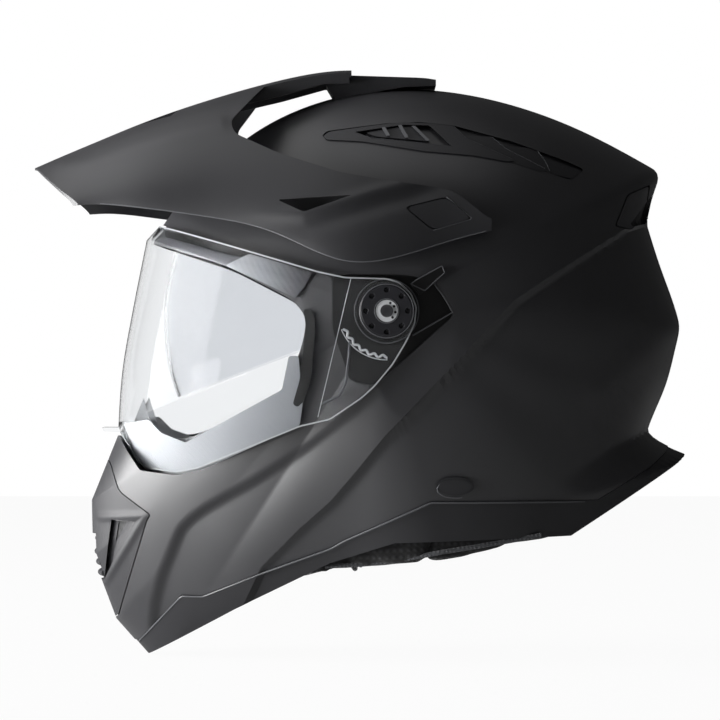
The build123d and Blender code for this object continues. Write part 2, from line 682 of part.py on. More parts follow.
def peak_front():
    """Everything in front of the peak's curved front edge."""
    edge = [(a * peak_half_width, b * shell_length) for a, b in peak_front_shares]
    points = [(-x, y) for x, y in reversed(edge[1:])] + edge
    far = -shell_length
    outline = Wire([Edge.make_spline([Vector(x, y) for x, y in points]),
                    Edge.make_line(points[-1], (points[-1][0], far)),
                    Edge.make_line((points[-1][0], far), (points[0][0], far)),
                    Edge.make_line((points[0][0], far), points[0])])
    return extrude(make_face(outline), shell_length)


def peak_solid(grow, overlap=0):
    """Filled arch of the peak, lofted station by station."""
    wires = []
    for y, top, low, width_share, p, q in peak_station_shares:
        half_width = width_share * peak_half_width + grow
        top_z = top * shell_length + grow
        low_z = low * shell_length
        arch = []
        for share in peak_arch_shares:
            rise = (top_z - low_z) * (1 - abs(share) ** p) ** (1 / q)
            arch.append(Vector(half_width * share, y * shell_length, low_z + rise))
        drop = overlap
        floor = [Vector(arch[-1].X, arch[-1].Y, low_z - drop),
                 Vector(arch[0].X, arch[0].Y, low_z - drop)]
        edges = [Edge.make_spline(arch)]
        if overlap:
            edges += [Edge.make_line(arch[-1], floor[0]), Edge.make_line(floor[0], floor[1]),
                      Edge.make_line(floor[1], arch[0])]
        else:
            edges.append(Edge.make_line(arch[-1], arch[0]))
        wires.append(Wire(edges))
    return Solid.make_loft(wires)


def peak():
    blank = peak_solid(0)
    cap_y, cap_z = side([cap_place_share])[0]
    body = blank - peak_solid(-peak_wall, skirt_overlap)
    for x in (-strip_half_width, strip_half_width - peak_wall):
        body += prism(strip_flange_shares, x, x + peak_wall) & blank
    body = body - peak_front() - shell_dome(-seat_gap)
    body -= both(prism(peak_gap_shares, strip_half_width))
    body -= prism(peak_strip_end_shares)
    body -= both(prism(peak_side_vent_shares, peak_half_width / 2))
    low, high = front_slot_width_shares
    body -= both(prism(front_slot_shares, low * peak_half_width, high * peak_half_width))
    body -= both(prism(cap_shares, 0, grow=seat_gap) - peak_solid(-peak_wall / 2))
    boss = (disc(cap_y, cap_z, 2 * peak_screw_radius, shell_half_width / 2, shell_half_width)
            & peak_solid(-peak_wall / 2)) - shell_dome(-seat_gap)
    body += both(boss)
    return body - both(disc(cap_y, cap_z, peak_screw_radius + pivot_play, 0, 2 * shell_half_width))


def peak_cap():
    return (prism(cap_shares, 0) & peak_solid(seat_gap)) - peak_solid(seat_gap - peak_wall / 2)


def peak_screw():
    cap_y, cap_z = side([cap_place_share])[0]
    body = disc(cap_y, cap_z, peak_screw_radius, 0, 2 * shell_half_width) & peak_solid(
        -peak_wall / 2 - seat_gap)
    return body - shell_dome(2 * shell_wall)


def crown_mount():
    return prism(crown_mount_shares, -mount_half_width, mount_half_width) - shell_dome(-seat_gap)


def vent_slider():
    plate = Pos(0, 0, vent_slider_level) * Box(vent_slider_length, vent_slider_width,
                                               vent_slider_thickness)
    body = plate
    for index in range(slider_rib_count):
        x = vent_slider_length * (index + 0.5 - slider_rib_count / 2) / slider_rib_count
        z = vent_slider_level + (vent_slider_thickness + vent_rib_height) / 2
        body += Pos(x, 0, z) * Box(vent_rib_height, vent_slider_width, vent_rib_height)
    return vent_frame * body


def top_vent_cover():
    window = Box(vent_slider_length + vent_slider_travel + 2 * seat_gap,
                 vent_slider_width + 2 * seat_gap, cut_overrun / 4)
    return set_in_cover(top_vent_shares) - vent_frame * Pos(vent_slider_travel / 2, 0, 0) * window


def side_plug():
    return (plug_prism(0) & shell_dome(-seat_gap)) - cover_back


shell_low = dome(shell_outline_shares, shell_half_width - step_depth, step_nose_drop)
vent_y, vent_z = side([vent_place_share])[0]
vent_hits = outer.find_intersection_points(Axis((0, vent_y, vent_z), (1, 0, 0)))
vent_point, vent_normal = max(vent_hits, key=lambda hit: hit[0].X)
vent_side = (Vector(0, 1, 0) - vent_normal * vent_normal.Y).normalized()
vent_frame = Location(Plane(origin=vent_point, x_dir=vent_side, z_dir=vent_normal))
liner_room = shell_hollow(seat_gap)
pad_room = shell_hollow(pad_inset - shell_wall)

os.makedirs("parts", exist_ok=True)
save(outer_shell(), "outer_shell")
save(base_trim(), "base_trim")
save(eps_liner(), "impact_liner")
save(chin_liner(), "chin_liner")
save(crown_pad(), "crown_pad")
save_pair(cheek_pad(), "cheek_pad")
save(neck_roll(), "neck_roll")
save(gasket(), "eye_port_gasket")
save(breath_deflector(), "breath_deflector")
save(chin_bezel(), "chin_vent_bezel")
save(chin_grille(), "chin_vent_grille")
save(chin_shutter(), "chin_vent_shutter")
save_pair(top_vent_cover(), "top_vent_cover")
save_pair(vent_slider(), "top_vent_slider")
save_pair(set_in_cover(exhaust_shares), "rear_exhaust")
save_pair(side_plug(), "side_plug")
save(face_shield(), "face_shield")
save(base_plate(True), "pivot_plate_left")
save(mirrored(base_plate(False)), "pivot_plate_right")
save_pair(ratchet(), "shield_ratchet")
save_pair(pivot_knob(), "pivot_knob")
save_pair(pivot_screw(), "pivot_screw")
save(sun_visor(), "sun_visor")
save_pair(visor_shaft(), "sun_visor_shaft")
save(visor_lever(), "sun_visor_lever")
save(peak(), "peak")
save_pair(peak_cap(), "peak_cap")
save_pair(peak_screw(), "peak_screw")
save(crown_mount(), "crown_mount")
save_pair(strap(), "chin_strap")
save(Compound(children=chin_rings()), "chin_strap_rings")
save_pair(rivet(), "strap_rivet")
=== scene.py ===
import bpy
import math
import numpy as np
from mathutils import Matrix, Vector


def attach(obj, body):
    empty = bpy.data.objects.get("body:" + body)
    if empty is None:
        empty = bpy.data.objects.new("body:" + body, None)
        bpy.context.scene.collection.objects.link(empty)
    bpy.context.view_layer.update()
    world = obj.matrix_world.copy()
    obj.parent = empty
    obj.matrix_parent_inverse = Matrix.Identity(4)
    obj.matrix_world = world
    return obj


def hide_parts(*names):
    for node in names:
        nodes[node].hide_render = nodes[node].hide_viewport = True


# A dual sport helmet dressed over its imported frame: metres, front faces -Y, +X is the rider's left.

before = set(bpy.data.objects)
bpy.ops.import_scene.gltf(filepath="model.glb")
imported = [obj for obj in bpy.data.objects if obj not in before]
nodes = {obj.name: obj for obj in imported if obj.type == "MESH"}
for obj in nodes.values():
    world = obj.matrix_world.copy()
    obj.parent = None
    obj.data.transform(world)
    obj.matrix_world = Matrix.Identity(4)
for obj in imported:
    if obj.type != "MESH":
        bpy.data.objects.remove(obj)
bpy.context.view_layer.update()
mm = 0.001

# Numbers that the shell, the shield and the covers share, in millimetres or shares of the length
shared = {"length": 360.0, "halfWidth": 122.0, "pivot": (-0.041, -0.039), "visorAxis": (-0.058, -0.053),
          "flatCap": 0.985, "wall": 3.6, "shieldHalfWidth": 126.4, "shieldWall": 2.2, "seatGap": 1.6,
          "landing": 115.5, "landingWall": 3.0, "pocket": 1.8, "gap": 0.35, "linerGap": 0.5,
          "shieldPower": 2.25}
length = shared["length"]
halfWidth = shared["halfWidth"]
pivot = np.array(shared["pivot"]) * length
visorAxis = np.array(shared["visorAxis"]) * length
overrun = 200.0
# the reference view: the camera's distance, its middle pixel, the pixel of the frame's origin and
# a pixel's size
view = {"away": 2600, "middle": 360, "origin": (410, 290), "mmPerPixel": 0.6}

# Outline of the shell in side view, run by run: y, z and the two powers that round it across
shellRuns = [
    [(-0.417, -0.628, 1.9, 1.3), (-0.489, -0.547, 1.9, 1.25)],
    [(-0.489, -0.547, 1.9, 1.25), (-0.528, -0.444, 1.9, 1.25)],
    [(-0.528, -0.444, 1.9, 1.25), (-0.530, -0.350, 1.9, 1.3)],
    [(-0.530, -0.350, 1.9, 1.3), (-0.485, -0.239, 1.9, 1.5)],
    [(-0.485, -0.239, 1.9, 1.5), (-0.462, -0.083, 2.0, 1.8), (-0.425, 0.088, 2.0, 2.0)],
    [(-0.425, 0.088, 2.0, 2.0), (-0.394, 0.131, 2.0, 2.0)],
    [(-0.394, 0.131, 2.0, 2.0), (-0.269, 0.254, 2.0, 2.0), (-0.125, 0.319, 2.05, 2.05),
     (0.014, 0.333, 2.1, 2.1), (0.147, 0.313, 2.15, 2.15), (0.267, 0.272, 2.2, 2.2),
     (0.347, 0.233, 2.2, 2.2), (0.400, 0.2035, 2.25, 2.25)],
    [(0.400, 0.2035, 2.25, 2.25), (0.4095, 0.196, 2.25, 2.25), (0.4125, 0.186, 2.25, 2.25),
     (0.4085, 0.170, 2.25, 2.25), (0.395, 0.120, 2.25, 2.25)],
    [(0.395, 0.120, 2.25, 2.25), (0.423, 0.032, 2.25, 2.25), (0.447, -0.038, 2.3, 2.3),
     (0.451, -0.062, 2.3, 2.3), (0.447, -0.090, 2.3, 2.3), (0.428, -0.163, 2.3, 2.3),
     (0.400, -0.232, 2.35, 2.35), (0.382, -0.320, 2.35, 2.35), (0.355, -0.430, 2.4, 2.4),
     (0.310, -0.560, 2.4, 2.4), (0.167, -0.728, 2.4, 2.4), (0, -0.717, 2.3, 2.3),
     (-0.181, -0.681, 1.95, 1.85), (-0.350, -0.656, 1.9, 1.45), (-0.417, -0.628, 1.9, 1.3)]]
shieldRuns = [[(a, b, shared["shieldPower"], shared["shieldPower"]) for a, b in run] for run in (
    [(-0.485, -0.228), (-0.478, -0.132), (-0.467, -0.065), (-0.438, 0.082)],
    [(-0.438, 0.082), (-0.417, 0.105)],
    [(-0.417, 0.105), (-0.250, 0.330), (-0.041, 0.380), (0.250, 0.270), (0.380, -0.039),
     (0.250, -0.350), (-0.041, -0.460), (-0.300, -0.420), (-0.430, -0.330), (-0.477, -0.250),
     (-0.485, -0.228)])]

# Side view cuts, as shares of the length
rim = [(-0.600, -0.600), (-0.450, -0.580), (-0.375, -0.500), (-0.339, -0.500), (-0.251, -0.463),
       (-0.131, -0.418), (-0.107, -0.404), (0.030, -0.342), (0.300, -0.342), (0.385, -0.2925),
       (0.430, -0.2595), (0.600, -0.240)]
baseLine = [(-0.600, -0.640), (-0.436, -0.605), (-0.287, -0.522), (-0.132, -0.444), (-0.028, -0.410),
            (0.257, -0.400), (0.446, -0.280), (0.600, -0.200)]
underneath = [(0.700, -0.900), (-0.700, -0.900)]
eyePort = [(-0.700, 0.166), (-0.421, 0.074), (-0.300, 0.036), (-0.191, -0.020), (-0.168, -0.049),
           (-0.175, -0.093), (-0.205, -0.166), (-0.282, -0.208), (-0.365, -0.246), (-0.700, -0.215)]
shieldEdge = [(-0.600, 0.1555), (-0.417, 0.105), (-0.258, 0.057), (-0.149, 0.024), (-0.107, 0.015),
              (-0.040, 0.013), (-0.021, 0.007), (-0.002, -0.010), (0.007, -0.033), (0.004, -0.060),
              (-0.010, -0.089), (-0.031, -0.124), (-0.060, -0.159), (-0.081, -0.178),
              (-0.131, -0.212), (-0.179, -0.223), (-0.344, -0.291), (-0.381, -0.299),
              (-0.440, -0.293), (-0.463, -0.262), (-0.479, -0.2385), (-0.600, -0.228)]
rearQuarter = [(0.700, 0.125), (0.395, 0.118), (0.349, 0.098), (0.235, 0.027), (0.163, -0.021),
               (0.018, -0.174), (-0.045, -0.239), (-0.091, -0.296), (-0.131, -0.343),
               (-0.179, -0.386), (-0.244, -0.452), (-0.280, -0.530), (-0.280, -0.800),
               (0.700, -0.800)]
pivotLanding = [(-0.128, 0.018), (-0.107, 0.020), (-0.009, 0.019), (0.033, 0.010), (0.048, -0.010),
                (0.068, -0.044), (0, -0.105), (-0.060, -0.159), (-0.100, -0.150), (-0.128, -0.069)]
bezelLine = [(-0.700, -0.190), (-0.496, -0.285), (-0.478, -0.332), (-0.425, -0.369), (-0.431, -0.378),
             (-0.484, -0.541), (-0.700, -0.620)]
chinWindow = [(-0.700, -0.380), (-0.494, -0.380), (-0.456, -0.384), (-0.505, -0.476), (-0.700, -0.500)]
topVent = [(-0.144, 0.247), (-0.137, 0.254), (-0.040, 0.266), (0.013, 0.268), (0.069, 0.262),
           (0.162, 0.236), (0.246, 0.206), (0.279, 0.192), (0.258, 0.174), (0.170, 0.202),
           (0.101, 0.214), (0.021, 0.220), (-0.080, 0.236), (-0.136, 0.240)]
exhaust = [(0.330, 0.100), (0.352, 0.152), (0.392, 0.170), (0.386, 0.122), (0.358, 0.096)]
capLine = [(-0.012, 0.126), (0.055, 0.143), (0.096, 0.108), (0.033, 0.089)]


def side(shares):
    return np.array(shares, float) * length


def softStep(value):
    t = np.clip(value, 0, 1)
    return t * t * (3 - 2 * t)


def splineThrough(rows, count):
    # natural cubic through the rows, carried by the length between them; two rows give a straight run
    rows = np.array(rows, float)
    at = np.r_[0, np.cumsum(np.hypot(*np.diff(rows[:, :2], axis=0).T))]
    want = np.linspace(0, at[-1], count, endpoint=False)
    n = len(rows)
    h = np.diff(at)
    matrix = np.eye(n)
    right = np.zeros_like(rows)
    for i in range(1, n - 1):
        matrix[i, i - 1:i + 2] = h[i - 1], 2 * (h[i - 1] + h[i]), h[i]
        right[i] = 6 * ((rows[i + 1] - rows[i]) / h[i] - (rows[i] - rows[i - 1]) / h[i - 1])
    bend = np.linalg.solve(matrix, right)
    k = np.clip(np.searchsorted(at, want, side="right") - 1, 0, n - 2)
    a = ((at[k + 1] - want) / h[k])[:, None]
    b = 1 - a
    h2 = (h[k] ** 2)[:, None] / 6
    return a * rows[k] + b * rows[k + 1] + ((a ** 3 - a) * bend[k] + (b ** 3 - b) * bend[k + 1]) * h2


def bell(distance, width):
    return np.exp(-(distance / width) ** 2)


def fullTurn(count):
    return np.linspace(0, 2 * np.pi, count, endpoint=False)


def ellipse(centre, a, b, count):
    turn = fullTurn(count)
    return np.column_stack([centre[0] + a * np.cos(turn), centre[1] + b * np.sin(turn)])


def outlineOf(runs, spacing, fine=()):
    # the runs one after the other, sampled every so many millimetres, finer on the chosen runs
    pieces = []
    for index, run in enumerate(runs):
        points = np.array(run)[:, :2] * length
        size = np.hypot(*np.diff(points, axis=0).T).sum()
        step = spacing / 3 if index in fine else spacing
        pieces.append(splineThrough(run, max(2, int(size / step))))
    line = np.vstack(pieces)
    line[:, :2] *= length
    return line


shellLine = outlineOf(shellRuns, 2.6)
shieldLine = outlineOf(shieldRuns, 4.0)


def polar(line):
    # turn of each outline point about the pivot, sorted, with its reach and powers
    spoke = line[:, :2] - pivot
    turn = np.arctan2(spoke[:, 1], spoke[:, 0])
    order = np.argsort(turn)
    return turn[order], np.hypot(spoke[order, 0], spoke[order, 1]), line[order, 2], line[order, 3]


shellPolar = polar(outlineOf(shellRuns, 1.0))
softEdges = {"rearSpread": 11.0, "chinSpread": 6.5, "power": 5.0, "from": 10.0, "to": 60.0, "samples": 1440,
             "chinBack": -40.0, "chinTop": -82.0, "chinFade": (40.0, 30.0)}


def softReach(turn, reach, spread):
    # reach of the outline with its corners averaged away over so many degrees on each side
    count = softEdges["samples"]
    even = np.linspace(-math.pi, math.pi, count, endpoint=False)
    values = np.interp(even, turn, reach, period=2 * np.pi)
    away = np.minimum(np.arange(count), count - np.arange(count)) * (360 / count)
    weight = np.exp(-0.5 * (away / spread) ** 2)
    return even, np.real(np.fft.ifft(np.fft.fft(values) * np.fft.fft(weight / weight.sum())))


softTurn, softValue = softReach(*shellPolar[:2], softEdges["rearSpread"])
chinValue = softReach(*shellPolar[:2], softEdges["chinSpread"])[1]


def softSpoke(turn, reach, shrink):
    # behind and at the chin the outline's corners show at the edge only:
    # reach = soft + (reach - soft) * shrink^power
    y = pivot[0] + reach * np.cos(turn)
    z = pivot[1] + reach * np.sin(turn)
    rear = softStep((y - softEdges["from"]) / (softEdges["to"] - softEdges["from"]))
    fadeY, fadeZ = softEdges["chinFade"]
    chin = softStep((softEdges["chinBack"] - y) / fadeY) * softStep((softEdges["chinTop"] - z) / fadeZ)
    soft = (np.interp(turn, softTurn, softValue, period=2 * np.pi) - reach) * rear
    soft = soft + (np.interp(turn, softTurn, chinValue, period=2 * np.pi) - reach) * chin
    return reach + soft * (1 - np.clip(shrink, 0, 1) ** softEdges["power"])


def depthOfShell(y, z, lift=0.0):
    # x of the shell's left side over a side view point: x = halfWidth * (1 - r^q)^(1/p)
    turn, reach, p, q = shellPolar
    dy, dz = y - pivot[0], z - pivot[1]
    angle = np.arctan2(dz, dy)
    p = np.interp(angle, turn, p, period=2 * np.pi)
    q = np.interp(angle, turn, q, period=2 * np.pi)
    far = np.interp(angle, turn, reach, period=2 * np.pi) + lift
    r = np.hypot(dy, dz) / far
    for _ in range(4):
        r = np.hypot(dy, dz) / softSpoke(angle, far, r)
    share = np.clip(1 - np.clip(r, 0, 1) ** q, 0, 1) ** (1 / p)
    return (halfWidth + lift) * np.minimum(share, shared["flatCap"])


def seen(pixels, depth=None):
    # points of the reference view laid on the shell, or on a given depth
    u, v = np.array(pixels, float).T
    x = np.full(len(u), 90.0 if depth is None else depth)
    for _ in range(12):
        m = view["away"] / (view["away"] - x)
        y = (view["middle"] + (u - view["middle"]) / m - view["origin"][0]) * view["mmPerPixel"]
        z = (view["origin"][1] - (view["middle"] + (v - view["middle"]) / m)) * view["mmPerPixel"]
        if depth is None:
            x = 0.5 * (x + depthOfShell(y, z))
    return np.stack([y, z], 1)


def distanceTo(y, z, line):
    # signed distance to an open line: positive on the right of the way it runs
    best = np.full(y.shape, 1e9)
    sign = np.ones(y.shape)
    for (ay, az), (by, bz) in zip(line[:-1], line[1:]):
        ey, ez = by - ay, bz - az
        t = np.clip(((y - ay) * ey + (z - az) * ez) / (ey * ey + ez * ez), 0, 1)
        d = np.hypot(y - ay - t * ey, z - az - t * ez)
        s = np.sign((y - ay) * ez - (z - az) * ey)
        closer = d < best - 1e-9
        sign = np.where(closer, s, sign)
        best = np.minimum(best, d)
    return best * sign


def domeGrid(line, width, inset=0.0, across=200):
    # pivot + spoke * cos(w)^(2/q), x = width * sin(w)^(2/p), w from -90 to 90 degrees
    spoke = line[:, :2] - pivot
    reach = np.hypot(spoke[:, 0], spoke[:, 1])
    w = np.linspace(-math.pi / 2, math.pi / 2, across + 1)[1:-1]
    shrink = np.cos(w)[None, :] ** (2 / line[:, 3:4])
    if line is not shieldLine and width == halfWidth:
        turn = np.arctan2(spoke[:, 1], spoke[:, 0])
        shrink = shrink * softSpoke(turn[:, None], reach[:, None], shrink) / reach[:, None]
    spoke = spoke * ((reach - inset) / reach)[:, None]
    x = np.sign(w)[None, :] * np.abs(np.sin(w))[None, :] ** (2 / line[:, 2:3])
    x = (width - inset) * np.clip(x, -shared["flatCap"], shared["flatCap"])
    return np.stack([x, pivot[0] + spoke[:, :1] * shrink, pivot[1] + spoke[:, 1:] * shrink], -1)


def pushIn(grid, depth):
    # moves each grid point inwards along the surface by depth(x, y, z)
    along = np.roll(grid, -1, 0) - np.roll(grid, 1, 0)
    over = np.gradient(grid, axis=1)
    normal = np.cross(over, along)
    normal /= np.linalg.norm(normal, axis=-1, keepdims=True) + 1e-12
    centre = np.array([0, *pivot])
    out = np.sign(((grid - centre) * normal).sum(-1, keepdims=True))
    return grid - normal * out * depth(*np.moveaxis(grid, -1, 0))[..., None]


spoiler = {"line": [(0.60, -0.215), (0.400, -0.231), (0.320, -0.262), (0.262, -0.296), (0.180, -0.318)],
           "out": 29.0, "below": 13.0, "fadeFrom": 78.0, "fadeTo": 138.0}


def flared(grid):
    # the tail: everything below a line is pushed back, more the lower and the further back it lies
    x, y, z = np.moveaxis(grid, -1, 0)
    below = distanceTo(y, z, side(spoiler["line"])[::-1])
    share = np.clip(below / spoiler["below"], 0, 1) ** 1.5
    fade = softStep((y - spoiler["fadeFrom"]) / (spoiler["fadeTo"] - spoiler["fadeFrom"]))
    out = grid.copy()
    out[..., 1] += spoiler["out"] * share * fade
    return out


def meshObject(name, points, faces):
    mesh = bpy.data.meshes.new(name)
    mesh.from_pydata((np.asarray(points) * mm).tolist(), [], faces)
    mesh.update()
    obj = bpy.data.objects.new(name, mesh)
    bpy.context.scene.collection.objects.link(obj)
    return obj


def pointsOf(obj):
    co = np.empty(len(obj.data.vertices) * 3)
    obj.data.vertices.foreach_get("co", co)
    return co.reshape(-1, 3)


def volumeOf(points, faces):
    quads = np.array([f for f in faces if len(f) == 4])
    tris = np.array([f for f in faces if len(f) == 3], int).reshape(-1, 3)
    parts = [tris]
    if len(quads):
        parts += [quads[:, [0, 1, 2]], quads[:, [0, 2, 3]]]
    t = np.asarray(points)[np.vstack(parts)]
    return (t[:, 0] * np.cross(t[:, 1], t[:, 2])).sum() / 6


def loftClosed(name, grid):
    # rows closed on themselves, every column a ring; both ends are closed by a middle point
    n, m = grid.shape[:2]
    points = np.vstack([grid.reshape(-1, 3), grid[:, 0].mean(0), grid[:, -1].mean(0)])
    i = np.arange(n)[:, None]
    j = np.arange(m - 1)[None, :]
    a = i * m + j
    b = (i + 1) % n * m + j
    faces = np.stack([a, a + 1, b + 1, b], -1).reshape(-1, 4).tolist()
    i = np.arange(n)
    k = (i + 1) % n
    first = np.stack([i * m, k * m, np.full(n, n * m)], -1)
    last = np.stack([k * m + m - 1, i * m + m - 1, np.full(n, n * m + 1)], -1)
    faces += first.tolist() + last.tolist()
    if volumeOf(points, faces) < 0:
        faces = [f[::-1] for f in faces]
    return meshObject(name, points, faces)


def dome(width=None, inset=0.0, line=None, across=200, depth=None, flare=False):
    grid = domeGrid(shellLine if line is None else line, width or halfWidth, inset, across)
    if depth is not None:
        grid = pushIn(grid, depth)
    if flare:
        grid = flared(grid)
    return loftClosed("dome", grid)


# spacing and columns of the cutters that shape only hidden faces
roughTool = (4.0, 120)
keptTools = {}


def tool(inset, spacing=3.0, across=180):
    # a dome used again and again as a cutter is made once
    key = (round(inset, 3), spacing, across)
    if key not in keptTools:
        keptTools[key] = dome(inset=inset, line=outlineOf(shellRuns, spacing), across=across)
    return keptTools[key]


def shieldDome(inset, across=160):
    return dome(shared["shieldHalfWidth"], inset, shieldLine, across)


def denser(points, step=2.0, closed=False):
    # a polyline with a point every so many millimetres
    p = np.asarray(points, float)
    if closed:
        p = np.vstack([p, p[:1]])
    at = np.r_[0, np.cumsum(np.linalg.norm(np.diff(p, axis=0), axis=1))]
    want = np.linspace(0, at[-1], max(2, int(at[-1] / step)) + 1)
    want = want[:-1] if closed else want
    return np.stack([np.interp(want, at, p[:, k]) for k in range(p.shape[1])], 1)


def tube(path, radius, sides=8, closed=False):
    # a round profile carried along a path; its frame turns with the path and keeps clear of the x axis
    ahead = np.roll(path, -1, 0) - np.roll(path, 1, 0)
    if not closed:
        ahead[0], ahead[-1] = path[1] - path[0], path[-1] - path[-2]
    ahead /= np.linalg.norm(ahead, axis=1, keepdims=True)
    first = np.cross(ahead, [1.0, 0.05, 0.02])
    first /= np.linalg.norm(first, axis=1, keepdims=True)
    second = np.cross(ahead, first)
    turn = fullTurn(sides)[:, None, None]
    grid = path + radius * (np.cos(turn) * first + np.sin(turn) * second)
    return ringMesh("bead", grid) if closed else loftClosed("bead", grid)


def ringMesh(name, grid):
    # rows and columns both closed on themselves
    n, m = grid.shape[:2]
    i, j = np.arange(n)[:, None], np.arange(m)[None, :]
    k, last = (i + 1) % n, (j + 1) % m
    faces = np.stack([i * m + j, i * m + last, k * m + last, k * m + j], -1).reshape(-1, 4).tolist()
    points = grid.reshape(-1, 3)
    if volumeOf(points, faces) < 0:
        faces = [f[::-1] for f in faces]
    return meshObject(name, points, faces)


def circleX(y, z, radius, x, count=72):
    return np.column_stack([np.full(count, x), ellipse((y, z), radius, radius, count)])


def liftedOn(points, lift):
    # side view points set on the shell's left side
    return np.column_stack([depthOfShell(*points.T) + lift, points])


def grown(points, amount):
    # every edge of the closed outline moved outwards, corners kept sharp
    p = np.asarray(points, float)
    if amount == 0:
        return p
    area = (p[:, 0] * np.roll(p[:, 1], -1) - np.roll(p[:, 0], -1) * p[:, 1]).sum()
    e = np.roll(p, -1, 0) - p
    n = np.stack([e[:, 1], -e[:, 0]], 1) * np.sign(area)
    n /= np.linalg.norm(n, axis=1, keepdims=True)
    before = np.roll(n, 1, 0)
    bend = 1 + (n * before).sum(1, keepdims=True)
    return p + amount * (n + before) / np.maximum(bend, 0.25)


def rounded(points, radius, steps=6):
    # each corner replaced by a short quadratic arc that starts a radius away from it
    p = np.asarray(points, float)
    before, after = np.roll(p, 1, 0) - p, np.roll(p, -1, 0) - p
    la, lb = np.linalg.norm(before, axis=1), np.linalg.norm(after, axis=1)
    reach = np.minimum(radius, 0.45 * np.minimum(la, lb))[:, None]
    start = p + before / la[:, None] * reach
    end = p + after / lb[:, None] * reach
    t = np.linspace(0, 1, steps)[None, :, None]
    arc = start[:, None] * (1 - t) ** 2 + 2 * p[:, None] * t * (1 - t) + end[:, None] * t ** 2
    return arc.reshape(-1, 2)


def prismX(points, low, high, grow=0.0, radius=0.0):
    # side view outline carried from x = low to x = high
    p = grown(points, grow)
    if radius:
        p = rounded(p, radius)
    n = len(p)
    area = (p[:, 0] * np.roll(p[:, 1], -1) - np.roll(p[:, 0], -1) * p[:, 1]).sum()
    if area < 0:
        p = p[::-1]
    ends = [np.column_stack([np.full(n, x), p]) for x in (low, high)]
    i = np.arange(n)
    k = (i + 1) % n
    faces = np.stack([i, k, k + n, i + n], -1).tolist() + [list(range(n))[::-1], list(range(n, 2 * n))]
    return meshObject("prism", np.vstack(ends), faces)


def through(points, grow=0.0, radius=0.0):
    return prismX(points, -overrun, overrun, grow, radius)


def bothSides(points, low=0.0, grow=0.0, radius=0.0, high=overrun):
    # the same outline on the left and on the right, from low outwards
    return prismX(points, low, high, grow, radius), prismX(points, -high, -low, grow, radius)


def barX(y, z, radius, low=-overrun, high=overrun, count=48):
    return prismX(ellipse((y, z), radius, radius, count), low, high)


def planPrism(points, low, high):
    # plan view outline carried from z = low to z = high
    obj = prismX(np.asarray(points)[:, ::-1], low, high)
    obj.data.vertices.foreach_set("co", pointsOf(obj)[:, [2, 1, 0]].ravel())
    obj.data.flip_normals()
    return obj


def combine(obj, other, way="DIFFERENCE", keep=False):
    # solid cut, overlap or sum of two closed meshes
    mod = obj.modifiers.new("solid", "BOOLEAN")
    mod.operation = way
    mod.solver = "MANIFOLD"
    mod.object = other
    bake(obj)
    if not keep:
        bpy.data.meshes.remove(other.data)
    return obj


def bake(obj):
    bpy.context.view_layer.update()
    mesh = bpy.data.meshes.new_from_object(obj.evaluated_get(bpy.context.evaluated_depsgraph_get()))
    old = obj.data
    obj.modifiers.clear()
    obj.data = mesh
    bpy.data.meshes.remove(old)
    return obj


def cut(obj, *others):
    for other in others:
        combine(obj, other)
    return obj


def meet(obj, other):
    return combine(obj, other, "INTERSECT")


def join(obj, *others):
    for other in others:
        combine(obj, other, "UNION")
    return obj


def flipX(obj, name):
    # the same piece on the other side, with its faces turned back outwards
    twin = bpy.data.objects.new(name, obj.data.copy())
    bpy.context.scene.collection.objects.link(twin)
    twin.data.vertices.foreach_set("co", (pointsOf(twin) * [-1, 1, 1]).ravel())
    twin.data.flip_normals()
    return twin


def settle(obj, name, body, material, replaces=(), slot=None, sharp=32.0):
    # names the piece, shades it smooth up to its sharp edges and hangs it on its body
    obj.name = name
    obj.data.name = name
    obj.data.materials.clear()
    obj.data.materials.append(material)
    obj.data.polygons.foreach_set("material_index", np.zeros(len(obj.data.polygons), np.int32))
    obj.data.polygons.foreach_set("use_smooth", np.ones(len(obj.data.polygons), bool))
    obj.data.set_sharp_from_angle(angle=math.radians(sharp))
    obj.data.update()
    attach(obj, body)
    if replaces:
        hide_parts(*replaces)
    return obj


def settlePair(left, name, body, material, node=None, slot=None, **more):
    # the left piece and its twin on the right
    right = flipX(left, name + "_right")
    for piece, label in ((left, "left"), (right, "right")):
        own = body if body in ("helmet", "shield") else body + "_" + label
        settle(piece, name + "_" + label, own, material, [node + "_" + label] if node else (), slot, **more)


# materials

def linear(code):
    # an sRGB hex value as linear light
    value = np.array([int(code[i:i + 2], 16) for i in (1, 3, 5)]) / 255
    value = np.where(value <= 0.04045, value / 12.92, ((value + 0.055) / 1.055) ** 2.4)
    return (*[float(v) for v in value], 1.0)


def linkUp(tree, node, links):
    for key, source in links.items():
        tree.links.new(source, node.inputs[key])


def addNode(tree, kind, settings=None, links=None):
    node = tree.nodes.new(kind)
    for key, value in (settings or {}).items():
        if isinstance(key, int) or key in node.inputs:
            node.inputs[key].default_value = value
        else:
            setattr(node, key, value)
    linkUp(tree, node, links or {})
    return node


def startMaterial(name, sockets):
    material = bpy.data.materials.new(name)
    material.use_nodes = True
    tree = material.node_tree
    shader = tree.nodes["Principled BSDF"]
    for key, value in sockets.items():
        shader.inputs[key].default_value = value
    place = addNode(tree, "ShaderNodeTexCoord").outputs["Object"]
    return material, tree, shader, place


